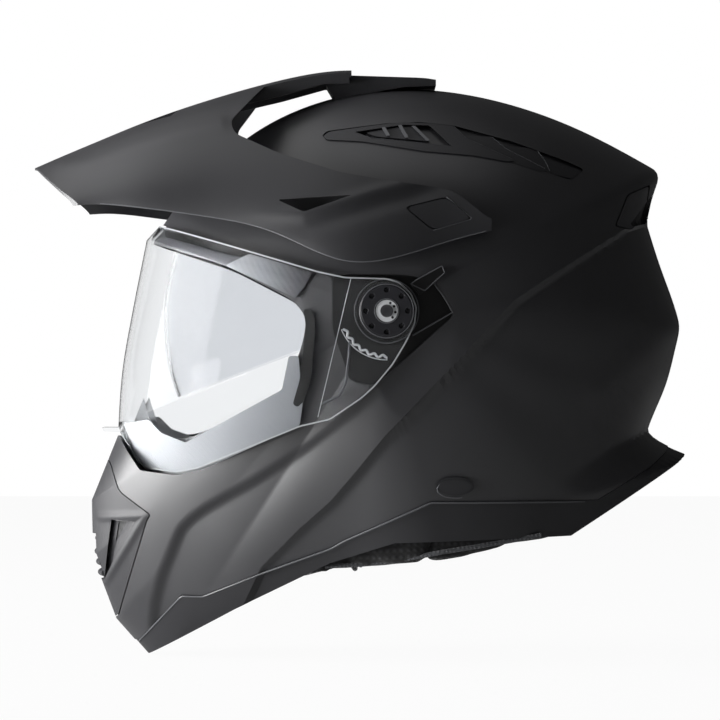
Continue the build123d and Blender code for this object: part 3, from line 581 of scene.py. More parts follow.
def moulded(name, dark, light, rough, grainMm, grainDepthMm, sockets=None, cloudMm=40.0, roughSpread=0.06):
    # fine grain as a bump, and slow clouds that shift the colour and the gloss a little
    base = {"IOR": 1.5, "Metallic": 0.0}
    base.update(sockets or {})
    material, tree, shader, place = startMaterial(name, base)
    cloud = addNode(tree, "ShaderNodeTexNoise", {"Scale": 1000 / cloudMm, "Detail": 3.0}, {"Vector": place})
    grain = addNode(tree, "ShaderNodeTexNoise", {"Scale": 1000 / grainMm, "Detail": 2.0}, {"Vector": place})
    colour = addNode(tree, "ShaderNodeMix", {"data_type": "RGBA"}, {0: cloud.outputs["Fac"]})
    colour.inputs[6].default_value = linear(dark)
    colour.inputs[7].default_value = linear(light)
    gloss = addNode(tree, "ShaderNodeMapRange",
                    {"To Min": rough - roughSpread, "To Max": rough + roughSpread},
                    {"Value": cloud.outputs["Fac"]})
    bump = addNode(tree, "ShaderNodeBump", {"Strength": 0.6, "Distance": grainDepthMm * mm},
                   {"Height": grain.outputs["Fac"]})
    linkUp(tree, shader, {"Base Color": colour.outputs[2], "Roughness": gloss.outputs["Result"],
                          "Normal": bump.outputs["Normal"]})
    return material


# matt lacquer sprayed over the moulded shell: dark, even, with a broad soft sheen
paint = moulded("mattLacquer", "#2e2e31", "#333336", 0.42, 0.5, 0.010, {"Specular IOR Level": 0.8})
# the peak's matt moulding, the same lacquer on ABS, drawn a little darker than the shell's: painted shade
peakShadedPaint = moulded("mattLacquerShadedOnPeak", "#29292c", "#2e2e31", 0.45, 0.5, 0.012, {"Specular IOR Level": 0.7})
# injection moulded skirt, fine spark grain
trimPlastic = moulded("grainedSkirtPlastic", "#242427", "#2a2a2d", 0.5, 0.7, 0.03)
# vent covers and plugs, fine spark grain, a little greyer
ventPlastic = moulded("grainedVentPlastic", "#28282b", "#2e2e31", 0.5, 0.6, 0.03)
# the chin vent's bezel, matt so that its ridges read as soft steps
bezelPlastic = moulded("mattBezelPlastic", "#29292c", "#303033", 0.5, 0.6, 0.02)
# satin nylon of the pivot parts
nylon = moulded("satinNylon", "#0c0c0d", "#131315", 0.34, 0.8, 0.01)
# the knobs, the same nylon with a polished top, drawn a lighter grey than the nylon: painted sheen
knobNylonSheen = moulded("polishedNylonPaintedSheen", "#29292c", "#313135", 0.24, 0.8, 0.006)
# the ratchet's arc, polished, and drawn pale grey: a painted glint on its teeth
ratchetGlintGrey = moulded("polishedRatchetNylonPaintedGlint", "#b4b6b9", "#cfd0d3", 0.18, 0.8, 0.004)
# extruded rubber of the port seal
rubber = moulded("portSealRubber", "#0b0b0c", "#121213", 0.55, 0.6, 0.02)
# the soft strip under the brow
softGrey = moulded("softBrowRubber", "#4b4b4f", "#55555a", 0.5, 0.6, 0.02)
# zinc plated screws, a dull grey gleam
steel = moulded("zincPlatedSteel", "#6b6c70", "#85868a", 0.34, 0.3, 0.008, {"Metallic": 1.0})
# the strap's rings, plated and polished, a sharp bright gleam
chrome = moulded("platedRingSteel", "#b9babd", "#cfd0d3", 0.16, 0.5, 0.004, {"Metallic": 1.0})
# the edges of the dark mouldings, drawn in a lighter grey: a painted highlight along them
edgeHighlightGrey = moulded("paintedEdgeHighlight", "#56575a", "#66676b", 0.3, 0.5, 0.006)
# the pale ring moulded into the knob
paleNylon = moulded("paleNylon", "#cfd1d4", "#e2e4e6", 0.4, 0.8, 0.01)


def paintedLightAlong(name, stops, low, high, rough, ribMm):
    # a moulding whose colour runs from front to back through the given stops, a run of painted light, with
    # fine ribs across it
    material, tree, shader, place = startMaterial(name, {"IOR": 1.45})
    parts = addNode(tree, "ShaderNodeSeparateXYZ", None, {0: place})
    along = addNode(tree, "ShaderNodeMapRange", {"From Min": low * mm, "From Max": high * mm},
                    {"Value": parts.outputs["Y"]})
    shade = addNode(tree, "ShaderNodeValToRGB", None, {"Fac": along.outputs["Result"]})
    ramp = shade.color_ramp
    ramp.elements[0].position, ramp.elements[1].position = stops[0][0], stops[-1][0]
    ramp.elements[0].color, ramp.elements[1].color = linear(stops[0][1]), linear(stops[-1][1])
    for position, code in stops[1:-1]:
        ramp.elements.new(position).color = linear(code)
    ribs = addNode(tree, "ShaderNodeTexWave", {"Scale": 1000 / ribMm / 6.28, "Distortion": 0.4,
                                               "bands_direction": "DIAGONAL"}, {"Vector": place})
    gloss = addNode(tree, "ShaderNodeMapRange", {"To Min": rough - 0.05, "To Max": rough + 0.05},
                    {"Value": ribs.outputs["Fac"]})
    bump = addNode(tree, "ShaderNodeBump", {"Strength": 0.5, "Distance": 0.1 * mm},
                   {"Height": ribs.outputs["Fac"]})
    linkUp(tree, shader, {"Base Color": shade.outputs["Color"], "Roughness": gloss.outputs["Result"],
                          "Normal": bump.outputs["Normal"]})
    return material


# soft lip along the bottom of the eye port, fine ribs across, drawn pale grey and paler towards the front:
# painted light over the seat
lipPaintedLight = paintedLightAlong("ribbedLipPaintedLight", [(0, "#d2d4d6"), (0.45, "#b2b4b7"), (1, "#8a8c90")],
                        -168, -62, 0.5, 1.6)
# satin panel beside the brow, pale at its front and dark at its rear end: a painted highlight fading towards
# the rear
sideBrowPaintedHighlight = paintedLightAlong("satinBrowPanelPaintedHighlight", [(0, "#a4a6a9"), (0.5, "#85878b"), (1, "#3c3c40")],
                              -112, -62, 0.45, 1.2)


def clearPlastic(name, tint, rough=0.02, ior=1.12, coat=0.3):
    # injection moulded polycarbonate: clear, hard coated, with a faint waviness
    material, tree, shader, place = startMaterial(name, {
        "Base Color": linear(tint), "Roughness": rough, "IOR": ior, "Transmission Weight": 1.0,
        "Coat Weight": coat, "Coat Roughness": 0.03, "Coat IOR": 1.5})
    wave = addNode(tree, "ShaderNodeTexNoise", {"Scale": 60.0, "Detail": 1.0}, {"Vector": place})
    bump = addNode(tree, "ShaderNodeBump", {"Strength": 0.15, "Distance": 0.02 * mm},
                   {"Height": wave.outputs["Fac"]})
    tree.links.new(bump.outputs["Normal"], shader.inputs["Normal"])
    return material


# the clear sheet; its index is drawn low because only its skin is bent here, not a lens
shieldPlastic = clearPlastic("clearPolycarbonate", "#f7f8f9", ior=1.08, coat=0.05)
# the breath guard, cloudy and soft
frostedSilicone = clearPlastic("frostedSilicone", "#c9cbce", rough=0.45, ior=1.3, coat=0.0)
# the inner visor, a light tint that barely darkens what is behind it
visorPlastic = clearPlastic("lightTintPolycarbonate", "#f0f1f3", ior=1.04, coat=0.0)
# the sheet's polished edge gathers light, drawn as an opaque pale grey: a painted glow
shieldEdgeGlowGrey = moulded("polishedPolycarbonateEdgePaintedGlow", "#b4b7ba", "#c8cbce", 0.18, 0.5, 0.004)


def foamMaterial():
    # expanded polystyrene: beads of about 3.5 mm pressed together, dark grey
    material, tree, shader, place = startMaterial("expandedPolystyrene", {"IOR": 1.5})
    bead = addNode(tree, "ShaderNodeTexVoronoi", {"Scale": 1000 / 3.5}, {"Vector": place})
    shade = addNode(tree, "ShaderNodeValToRGB", None, {"Fac": bead.outputs["Distance"]})
    shade.color_ramp.elements[0].color = linear("#2b2b2d")
    shade.color_ramp.elements[1].color = linear("#161617")
    gloss = addNode(tree, "ShaderNodeMapRange", {"To Min": 0.5, "To Max": 0.75},
                    {"Value": bead.outputs["Distance"]})
    bump = addNode(tree, "ShaderNodeBump", {"Strength": 0.6, "Distance": 0.3 * mm, "invert": True},
                   {"Height": bead.outputs["Distance"]})
    linkUp(tree, shader, {"Base Color": shade.outputs["Color"], "Roughness": gloss.outputs["Result"],
                          "Normal": bump.outputs["Normal"]})
    return material


foam = foamMaterial()


def knitMaterial(name, dark, light, threadMm):
    # brushed knit: rows of loops every couple of millimetres, drawn coarse enough to show, with fuzz
    material, tree, shader, place = startMaterial(name, {
        "IOR": 1.45, "Sheen Weight": 0.25, "Sheen Roughness": 0.5})
    rows = addNode(tree, "ShaderNodeTexWave", {"Scale": 1000 / threadMm / 6.28, "Distortion": 1.5,
                                               "Detail": 1.0, "bands_direction": "Z"}, {"Vector": place})
    stitches = addNode(tree, "ShaderNodeTexWave", {"Scale": 1000 / threadMm / 6.28, "Distortion": 1.5,
                                                   "Detail": 1.0, "bands_direction": "Y"},
                       {"Vector": place})
    height = addNode(tree, "ShaderNodeMath", {"operation": "MULTIPLY"},
                     {0: rows.outputs["Fac"], 1: stitches.outputs["Fac"]})
    cloud = addNode(tree, "ShaderNodeTexNoise", {"Scale": 60.0, "Detail": 4.0}, {"Vector": place})
    colour = addNode(tree, "ShaderNodeMix", {"data_type": "RGBA"}, {0: height.outputs[0]})
    colour.inputs[6].default_value = linear(dark)
    colour.inputs[7].default_value = linear(light)
    gloss = addNode(tree, "ShaderNodeMapRange", {"To Min": 0.75, "To Max": 0.95},
                    {"Value": cloud.outputs["Fac"]})
    bump = addNode(tree, "ShaderNodeBump", {"Strength": 0.8, "Distance": 0.4 * mm},
                   {"Height": height.outputs[0]})
    linkUp(tree, shader, {"Base Color": colour.outputs[2], "Roughness": gloss.outputs["Result"],
                          "Normal": bump.outputs["Normal"]})
    return material


knit = knitMaterial("brushedKnit", "#0d0d0e", "#232326", 2.0)
# the strap's polyester webbing, a tighter weave
webbing = knitMaterial("wovenWebbing", "#0b0b0c", "#1e1e20", 1.4)
# open air mesh sewn on the front foot of the cheek pads, and the piping along their seam
airMesh = knitMaterial("airMeshKnit", "#2c2c2e", "#a4a5a8", 3.2)
pipingKnit = knitMaterial("pipingKnit", "#47484b", "#5d5e61", 1.2)
print("materials made:", len(bpy.data.materials))


def beadPair(path, radius, name, body="helmet", material=edgeHighlightGrey, sides=8, closed=False, **more):
    # a thin round bead along a path on the left and its twin on the right, by default in the painted edge
    # highlight's grey
    settlePair(tube(path, radius, sides, closed), name, body, material, **more)


# shell

shellLook = {"across": 220, "bladeInset": 0.25, "rearStep": 3.0, "rearBlend": 4.0, "scoopDepth": 3.4,
             "scoopEdge": 5.0, "scoopRise": 62.0, "creaseHeight": 0.9, "creaseWidth": 9.0,
             "landingCorner": 5.0, "portCorner": 8.0, "shieldCorner": 2.0}
plugLook = {"centre": (0.069, -0.318), "half": (0.030, 0.0145), "gap": 0.5, "rim": 1.2, "sink": 0.2,
            "proud": 0.3, "floor": 1.5, "edge": 0.35, "edgeSink": 0.1}
# rounding of the pockets' corners and of the covers that lie in them
corner = {"vent": 3.0, "exhaust": 2.0, "bezel": 3.0}
scoopLine = seen([(470, 300), (352, 408), (300, 447), (250, 479), (224, 493), (200, 507), (187, 517),
                  (177, 527), (168, 548), (157, 576), (150, 604), (147, 640)])
bladeLine = side(rearQuarter[:12])
rearCrease = seen([(681, 327), (640, 360), (604, 391)])


def shellDepth(x, y, z):
    # how far the sides are hollowed: the chin's scoop, deepest beside its line and running out
    # towards the blade's edge
    inside = -distanceTo(y, z, scoopLine)
    toBlade = distanceTo(y, z, bladeLine)
    scoop = softStep(inside / shellLook["scoopEdge"]) * softStep(toBlade / shellLook["scoopRise"])
    return shellLook["scoopDepth"] * scoop * softStep((-20 - z) / 40)


def rearDepth(x, y, z):
    # the rear quarters lie a step lower than the blade, sloping down from its edge
    behind = -distanceTo(y, z, bladeLine)
    inset = shellLook["bladeInset"]
    edge = inset + (shellLook["rearStep"] - inset) * softStep(behind / shellLook["rearBlend"])
    edge = edge - shellLook["creaseHeight"] * bell(distanceTo(y, z, rearCrease), shellLook["creaseWidth"])
    # at the centre plane less than half of it is left
    return np.where(behind > 0, edge, inset) * np.where(np.abs(x) < 20, 0.4 + 0.03 * np.abs(x), 1)


sealLook = {"proud": 0.6, "deep": 5.7, "x": 104, "corner": 1.5, "seatX": 108,
            "slot": [(304, 310), (309, 309), (313, 313), (316, 322), (314, 350), (311, 380), (304, 401),
                     (298, 407), (293, 404), (300, 380), (304, 350), (306, 325)],
            "lip": [(108, 427), (146, 420), (159, 433.5), (184.5, 443), (235, 415.5), (282.5, 389.5),
                    (289.5, 356), (299, 356), (303, 404), (300, 425), (190, 476), (140, 478), (108, 464)],
            "brow": [(163, 229.5), (250, 252), (243, 258), (232, 256.5), (165, 237)],
            "underBrow": [(153, 240), (165, 237.4), (232, 257), (243, 258.4), (226, 265.5), (200, 257)],
            "sideBrow": [(250, 254.5), (313, 273.5), (306, 286), (297, 299), (260, 281.5), (226, 265.8)],
            "guard": [(-0.4700, -0.2480), (-0.4394, -0.1795), (-0.419, -0.247), (-0.3837, -0.262),
                      (-0.395, -0.292), (-0.455, -0.287)],
            "cup": {"middle": -121.0, "reach": 46.0, "half": 52.0, "wall": 1.8},
            "line": [(351, 279), (318, 417)], "arc": [(350, 341), (346, 382), (339, 396), (321, 404)]}


def roughDome(inset, depth=None):
    # the dome in fewer faces, for walls that nobody sees closely
    return dome(inset=inset, line=outlineOf(shellRuns, 5.0), across=110, depth=depth)


def hollow(gap):
    # inside of the shell wall, which follows the shield's seat and the pivot landings
    depth = shared["wall"] + gap
    body = roughDome(depth, shellDepth)
    seat = cut(through(side(shieldEdge), shared["seatGap"] + depth),
               shieldDome(shared["shieldWall"] + shared["seatGap"] + depth))
    cut(body, seat)
    level = shared["landing"] - shared["landingWall"] - gap
    return cut(body, *bothSides(side(pivotLanding), level, shared["landingWall"] + gap))


def plugOval(grow):
    return ellipse(side([plugLook["centre"]])[0], *(side(plugLook["half"]) + grow), 64)


def makeShell():
    # two skins, the blade's and the rear quarters', then everything that is cut out of them
    body = dome(across=shellLook["across"], depth=shellDepth, flare=True)
    rear = dome(across=shellLook["across"], depth=rearDepth, flare=True)
    cut(body, cut(through(side(rearQuarter)), rear))
    cut(body, cut(through(side(shieldEdge), shared["seatGap"], shellLook["shieldCorner"]),
                  shieldDome(shared["shieldWall"] + shared["seatGap"])))
    cut(body, *bothSides(side(pivotLanding), shared["landing"], 0, shellLook["landingCorner"]))
    cut(body, hollow(0), through(side(rim + underneath)), through(side(eyePort), 0, shellLook["portCorner"]),
        through(side(chinWindow)))
    gap = shared["gap"]
    pockets = [*bothSides(side(topVent), 0, gap, corner["vent"]),
               *bothSides(side(exhaust), 0, gap, corner["exhaust"]),
               through(side(bezelLine), gap, corner["bezel"]), *bothSides(plugOval(plugLook["gap"]))]
    for pocket in pockets:
        cut(body, combine(pocket, tool(shared["pocket"]), keep=True))
    return body


headLook = {"half": (86.0, 106.0, 92.0)}
linerLine = [(-0.360, 0.118), (-0.250, 0.076), (-0.150, -0.010), (-0.140, -0.100), (-0.100, -0.180),
             (-0.040, -0.240), (0.100, -0.290), (0.300, -0.290), (0.500, -0.180), (0.600, 0.400),
             (-0.400, 0.500), (-0.500, 0.200)]


def headForm(gap, low=-400.0):
    # half an ellipsoid over a straight elliptic neck
    a, b, c = np.array(headLook["half"]) - gap
    turn = fullTurn(96)[:, None]
    lift = np.radians(np.linspace(89.9, 0, 40))
    z = np.r_[c * np.sin(lift), low]
    share = np.r_[np.cos(lift), 1]
    grid = np.stack([a * share * np.cos(turn), b * share * np.sin(turn), np.broadcast_to(z, (96, 41))], -1)
    return loftClosed("head", grid)


def visorBand(low, high, grow, back):
    # a curved band turned about the visor's shaft: radius * (1 - |t|^k)^(1/k) at x = halfWidth * t
    k = visorLook["power"]
    turns = np.radians(np.linspace(low, high, 70))
    w = np.linspace(-1, 1, 161) * math.radians(84)

    def sheet(inset):
        x = (visorLook["halfWidth"] - inset) * np.sign(w) * np.abs(np.sin(w)) ** (2 / k)
        r = (visorLook["radius"] - inset) * np.cos(w) ** (2 / k)
        t = turns[:, None]
        return np.stack([np.broadcast_to(x, (len(turns), len(x))), visorAxis[0] - r * np.cos(t),
                         visorAxis[1] + r * np.sin(t)], -1)
    body = loftClosed("visor", np.concatenate([sheet(-grow), sheet(back)[::-1]], 0))
    inner, outer = visorLook["earFaces"][0] - grow, visorLook["earFaces"][1] + grow
    ear = visorLook["ear"] + grow
    return join(body, barX(*visorAxis, ear, inner, outer), barX(*visorAxis, ear, -outer, -inner))


visorLook = {"radius": 126.6, "halfWidth": 111.6, "wall": 1.8, "low": -21.0, "high": 22.0, "power": 2.25,
             "ear": 12.0, "earFaces": (107.9, 109.8), "bore": 2.6, "travel": 34.0, "play": 1.0,
             "turnPlay": 2.0}


def makeLiner():
    # foam between the shell and the head, with a pocket as long as the sun visor's travel
    body = meet(through(side(linerLine)), hollow(shared["linerGap"]))
    low = visorLook["low"] - visorLook["turnPlay"]
    high = visorLook["high"] + visorLook["travel"] + visorLook["turnPlay"]
    play = visorLook["play"]
    return cut(body, headForm(0), visorBand(low, high, play, visorLook["wall"] + play))


chinLook = {"thick": 18.0, "roomHalf": 27.0,
            "line": [(-0.480, -0.310), (-0.420, -0.340), (-0.380, -0.380), (-0.360, -0.480), (-0.480, -0.540),
                     (-0.700, -0.560), (-0.700, -0.310)],
            "room": [(-0.700, -0.350), (-0.428, -0.350), (-0.428, -0.505), (-0.700, -0.505)]}


def makeChinLiner():
    # foam behind the chin bar, with room for the shutter
    body = meet(through(side(chinLook["line"])), hollow(shared["linerGap"]))
    cut(body, roughDome(shared["wall"] + chinLook["thick"]))
    return cut(body, prismX(side(chinLook["room"]), -chinLook["roomHalf"], chinLook["roomHalf"]))


settle(makeLiner(), "impactLiner", "helmet", foam, ["impact_liner"], "foam")
settle(makeChinLiner(), "chinLiner", "helmet", foam, ["chin_liner"], "foam")
print("liner made")
shell = settle(makeShell(), "shell", "helmet", paint, ["outer_shell"], "shell")
print("shell:", len(shell.data.polygons), "faces")

# skirt along the bottom

skirtLook = {"wall": 8.0, "inset": 0.6, "lip": 0.5, "lipDrop": 0.9, "lipSink": 0.75, "joint": 0.3}


def makeSkirt():
    # the band between the shell's rim and the base line, a little under the shell's surface
    body = dome(inset=skirtLook["inset"], flare=True)
    cut(body, cut(through(side(rearQuarter)), dome(inset=skirtLook["inset"], depth=rearDepth, flare=True)))
    meet(body, through(side(rim + underneath), -skirtLook["joint"]))
    cut(body, through(side(baseLine + underneath)))
    return combine(body, tool(skirtLook["wall"], *roughTool), keep=True)


settle(makeSkirt(), "skirt", "helmet", trimPlastic, ["base_trim"], "trim")
# the skirt's lip as a bead in the edge grey: a painted highlight along it
lip = side(rim[1:9]) - [0, skirtLook["lipDrop"]]
beadPair(liftedOn(denser(lip), -skirtLook["lipSink"]), skirtLook["lip"], "skirtLip")
print("skirt made")

# face shield and sun visor

shieldLook = {"tabHalf": 9.0, "tabCorner": 0.8, "spacing": 2.5, "bore": 6.1, "rim": 0.75, "rimProud": 0.08,
              "rimGrow": 0.05, "arcLift": 3.2, "arc": 0.7, "lineLift": 0.25, "line": 0.22,
              "tab": [(-0.512, -0.2285), (-0.474, -0.2285), (-0.474, -0.237), (-0.510, -0.235)]}


def makeShield():
    # a sheet between two domes, cut to its edge, with the small tab in front
    k = shieldLook
    line = outlineOf(shieldRuns, k["spacing"])
    body = dome(shared["shieldHalfWidth"], 0, line)
    meet(body, through(side(shieldEdge), 0, shellLook["shieldCorner"]))
    cut(body, dome(shared["shieldHalfWidth"], shared["shieldWall"], line))
    join(body, prismX(side(k["tab"]), -k["tabHalf"], k["tabHalf"], 0, k["tabCorner"]))
    return cut(body, barX(*pivot, k["bore"]))


settle(makeShield(), "faceShield", "shield", shieldPlastic, ["face_shield"], "clear_plastic")

sunVisor = visorBand(visorLook["low"], visorLook["high"], 0, visorLook["wall"])
settle(cut(sunVisor, barX(*visorAxis, visorLook["bore"])), "sunVisor", "visor", visorPlastic, ["sun_visor"],
       "tint_plastic")


def underShield(points, rise, depth):
    # a plate on the shell's seat behind the shield
    top = shared["shieldWall"] + shared["seatGap"] - rise
    body = meet(prismX(points, 0, overrun, 0, sealLook["corner"]), shieldDome(top))
    return cut(body, shieldDome(top + depth))


def onSeat(pixels, lift):
    # points of the reference view laid on the seat behind the shield, and lifted off it
    points = seen(pixels, sealLook["seatX"])
    turn, reach = polar(shieldLine)[:2]
    spoke = points - pivot
    far = np.interp(np.arctan2(spoke[:, 1], spoke[:, 0]), turn, reach, period=2 * np.pi) - lift
    r = np.clip(np.hypot(*spoke.T) / far, 0, 1)
    power = shared["shieldPower"]
    x = (shared["shieldHalfWidth"] - lift) * np.minimum((1 - r ** power) ** (1 / power), shared["flatCap"])
    return np.column_stack([x, points])


seal = underShield(seen(sealLook["slot"], sealLook["x"]), sealLook["proud"], sealLook["deep"])
settle(join(seal, flipX(seal, "seal")), "portSeal", "helmet", rubber, ["eye_port_gasket"], "rubber")
# name, outline, x that the outline is seen at, rise over the seat, depth from top to bottom, material; the
# lip's and the side brow panel's pale grey is painted light
for name, outline, x, rise, depth, material in (("portLip", "lip", 96, 0.3, 6.3, lipPaintedLight),
                                                ("browStrip", "brow", 66, 0.7, 1.4, rubber),
                                                ("underBrowStrip", "underBrow", 72, 0.4, 1.2, softGrey),
                                                ("sideBrowStrip", "sideBrow", 88, 0.3, 1.0, sideBrowPaintedHighlight)):
    settlePair(underShield(seen(sealLook[outline], x), rise, depth), name, "helmet", material)


def makeGuard():
    # a curved cup in front of the mouth: an elliptic wall in plan, cut to its outline in side view
    turn = fullTurn(120)
    k = sealLook["cup"]

    def cup(inset):
        return planPrism(np.column_stack([(k["half"] - inset) * np.sin(turn),
                                          k["middle"] - (k["reach"] - inset) * np.cos(turn)]), -120, -50)
    return meet(cut(cup(0), cup(k["wall"])), through(side(sealLook["guard"])))


settle(makeGuard(), "breathGuard", "helmet", frostedSilicone, ["breath_deflector"], "soft_rubber")
# a bead along the seat's edge in the edge grey: a painted highlight
beadPair(denser(onSeat(sealLook["arc"], shieldLook["arcLift"])), shieldLook["arc"], "seatEdge")


def makeShieldRim():
    # the sawn edge that runs round the clear sheet, bright with its painted glow
    k, radius = shieldLook, shellLook["shieldCorner"]
    body = meet(through(side(shieldEdge), k["rimGrow"], radius), shieldDome(-k["rimProud"]))
    return cut(body, through(side(shieldEdge), -k["rim"], radius),
               shieldDome(shared["shieldWall"] + k["rimProud"]))


settle(makeShieldRim(), "shieldRim", "shield", shieldEdgeGlowGrey)
# a thin line on the shield in the same pale grey: a painted highlight
shieldLinePath = denser(onSeat(sealLook["line"], shieldLook["lineLift"]))
beadPair(shieldLinePath, shieldLook["line"], "shieldLine", "shield", shieldEdgeGlowGrey, 6)
print("shield and sun visor made")

# peak

peakLook = {"halfWidth": 132.0, "wall": 2.6, "strip": 30.0, "gap": 0.3, "gapCorner": 4.0, "ventLow": 70.0,
            "ventCorner": 2.0, "slot": (0.12, 0.30), "drop": 7.0, "footHalf": 24.0, "edge": 0.35}
capLook = {"gap": 0.35, "corner": 4.0, "pocket": 1.3, "proud": 0.3, "floor": 1.1, "edge": 0.3,
           "edgeSink": 0.2}
peakStations = [
    (-0.660, 0.1870, 0.1180, 0.580, 1.5, 1.1), (-0.584, 0.2205, 0.1280, 0.590, 1.6, 1.2),
    (-0.521, 0.2467, 0.1345, 0.620, 1.8, 1.4), (-0.452, 0.2747, 0.1297, 0.685, 2.0, 1.6),
    (-0.319, 0.3200, 0.1110, 0.780, 2.2, 1.7), (-0.217, 0.3480, 0.0850, 0.885, 2.2, 1.5),
    (-0.107, 0.3645, 0.0400, 0.996, 2.3, 1.35), (-0.020, 0.3570, 0.0470, 0.985, 2.3, 1.35),
    (0.067, 0.3370, 0.0740, 0.930, 2.3, 1.38), (0.129, 0.3160, 0.0900, 0.905, 2.3, 1.4)]
peakFront = [(0, -0.625), (0.256, -0.606), (0.426, -0.584), (0.580, -0.5495), (0.680, -0.500)]
peakGap = [(-0.286, 0.250), (-0.263, 0.239), (-0.215, 0.216), (-0.179, 0.204), (-0.115, 0.183),
           (-0.059, 0.173), (0.051, 0.157), (0.075, 0.147), (0.121, 0.109), (0.200, 0.100),
           (0.200, 0.500), (-0.100, 0.500), (-0.294, 0.271)]
peakStripEnd = [(-0.0975, 0.200), (-0.0975, 0.500), (0.200, 0.500), (0.200, 0.200)]
peakSideVent = [(-0.215, 0.139), (-0.096, 0.146), (-0.173, 0.119)]
frontSlot = [(-0.500, 0.260), (-0.380, 0.325), (-0.340, 0.340), (-0.395, 0.285)]
stripFlange = [(-0.292, 0.300), (-0.215, 0.318), (-0.143, 0.338), (-0.1008, 0.339), (-0.1008, 0.500),
               (-0.292, 0.500)]


def peakBlank(grow, drop=0.0, lift=None):
    # arches across the helmet: z = low + (top - low) * (1 - |s|^p)^(1/q), x = s * half width
    rows = splineThrough(peakStations, 260)
    y, top, low, share, p, q = rows.T
    if grow < -2:
        grow = grow * (0.45 + 0.55 * softStep((y + 0.63) / 0.12))
    width = share * peakLook["halfWidth"] + grow
    a = np.linspace(-math.pi / 2, math.pi / 2, 161)
    s = np.sign(a) * np.abs(np.sin(a))[None, :] ** (2 / p[:, None])
    rise = np.cos(a)[None, :] ** (2 / q[:, None])
    z = low[:, None] * length + (top * length + grow - low * length)[:, None] * rise
    grid = np.stack([s * width[:, None], np.broadcast_to(y[:, None] * length, s.shape), z], -1)
    if lift is not None:
        grid = grid + lift(*np.moveaxis(grid, -1, 0))
    floor = grid[:, [-1, 0]].copy()
    floor[..., 2] = (low * length)[:, None] - drop
    ring = np.concatenate([grid, floor] if drop else [grid], 1)
    return loftClosed("peak", np.swapaxes(ring, 0, 1))


def peakFrontCut():
    # everything in front of the peak's tip, bowed in plan
    half = splineThrough([(a * peakLook["halfWidth"], b * length) for a, b in peakFront], 60)
    last = np.array([peakFront[-1][0] * peakLook["halfWidth"], peakFront[-1][1] * length])
    half = np.vstack([half, last])
    box = [(overrun, -170), (overrun, -2 * overrun), (-overrun, -2 * overrun), (-overrun, -170)]
    return planPrism(np.vstack([(half * [-1, 1])[:0:-1], half, box]), -100, 300)


# height and width of each rise, and the lines that they follow at a given x
peakRelief = {"ridge": (0.8, 5.0), "ridgeFrom": 20.0, "ridgeX": 70,
              "ridgeLine": [(60, 163), (90, 161), (142, 144), (220, 125)],
              "lip": (1.3, 3.5), "hollow": (1.2, 6.0), "hollowOff": 7.0, "lipX": 118,
              "lipLine": [(120, 213), (250, 214), (303, 215), (379, 191), (430, 178), (560, 144)],
              "outwards": 0.8, "upwards": 0.5}


def peakShape(x, y, z):
    # a soft ridge along each side face, and a lip over the brow with a hollow beside it:
    # height * exp(-(distance / width)^2), faded out at the lip's ends and towards the middle
    k = peakRelief
    height, width = k["ridge"]
    away = distanceTo(y, z, seen(k["ridgeLine"], k["ridgeX"]))
    out = height * bell(np.abs(away), width) * (np.abs(x) > k["ridgeFrom"])
    away = distanceTo(y, z, seen(k["lipLine"], k["lipX"]))
    along = softStep((y + 100) / 35) * softStep((30 - y) / 30) * softStep((np.abs(x) - 55) / 20)
    out = out + k["lip"][0] * bell(away, k["lip"][1]) * along
    out = out - k["hollow"][0] * bell(away - k["hollowOff"], k["hollow"][1]) * along
    return np.stack([np.sign(x) * out * k["outwards"], 0 * out, out * k["upwards"]], -1)


def makePeak():
    # a shell of even wall with a flanged centre strip, its openings and the pockets of the two caps
    body = peakBlank(0, lift=peakShape)
    cut(body, peakBlank(-peakLook["wall"], peakLook["drop"]))
    for x in (-peakLook["strip"], peakLook["strip"] - peakLook["wall"]):
        join(body, meet(prismX(side(stripFlange), x, x + peakLook["wall"]), peakBlank(0)))
    combine(cut(body, peakFrontCut()), tool(-peakLook["gap"]), keep=True)
    slotLow, slotHigh = np.array(peakLook["slot"]) * peakLook["halfWidth"]
    cut(body, *bothSides(side(peakGap), peakLook["strip"], 0, peakLook["gapCorner"]),
        through(side(peakStripEnd)),
        *bothSides(side(peakSideVent), peakLook["ventLow"], 0, peakLook["ventCorner"]),
        *bothSides(side(frontSlot), slotLow, high=slotHigh))
    for pocket in bothSides(side(capLine), 0, capLook["gap"], capLook["corner"]):
        cut(body, cut(pocket, peakBlank(-capLook["pocket"])))
    return body


settle(makePeak(), "peak", "helmet", peakShadedPaint, ["peak"], "peak")
footLine = seen([(326, 87), (337, 81), (352, 81), (354, 104), (338, 104)])
crownFoot = prismX(footLine, -peakLook["footHalf"], peakLook["footHalf"], 0, 1.0)
settle(combine(crownFoot, tool(0), keep=True), "crownFoot", "helmet", ventPlastic)
peakRows = splineThrough(peakStations, 260)


def onPeak(points, lift=0.0):
    # x of the peak's left side over a side view point, from the arch of its station
    points = denser(points)
    y = points[:, 0] / length
    top, low, share, p, q = [np.interp(y, peakRows[:, 0], peakRows[:, k]) for k in range(1, 6)]
    rise = np.clip((points[:, 1] / length - low) / (top - low), 0, 1)
    x = share * peakLook["halfWidth"] * np.clip(1 - rise ** q, 0, 1) ** (1 / p)
    return np.column_stack([x + lift, points])


# beads along the peak's lower edge and the caps' edges, in the edge grey: painted highlights
lower = peakRows[(peakRows[:, 0] > -0.505) & (peakRows[:, 0] < 0.118)]
path = np.column_stack([lower[:, 3] * peakLook["halfWidth"] - 0.1, lower[:, 0] * length,
                        lower[:, 2] * length + 0.3])
beadPair(denser(path), peakLook["edge"], "peakEdge")
beadPair(onPeak(side(capLine[1:]), -capLook["edgeSink"]), capLook["edge"], "capEdge")
print("peak made")

# vents on the crown; each plate has its rise over the shell and its outline

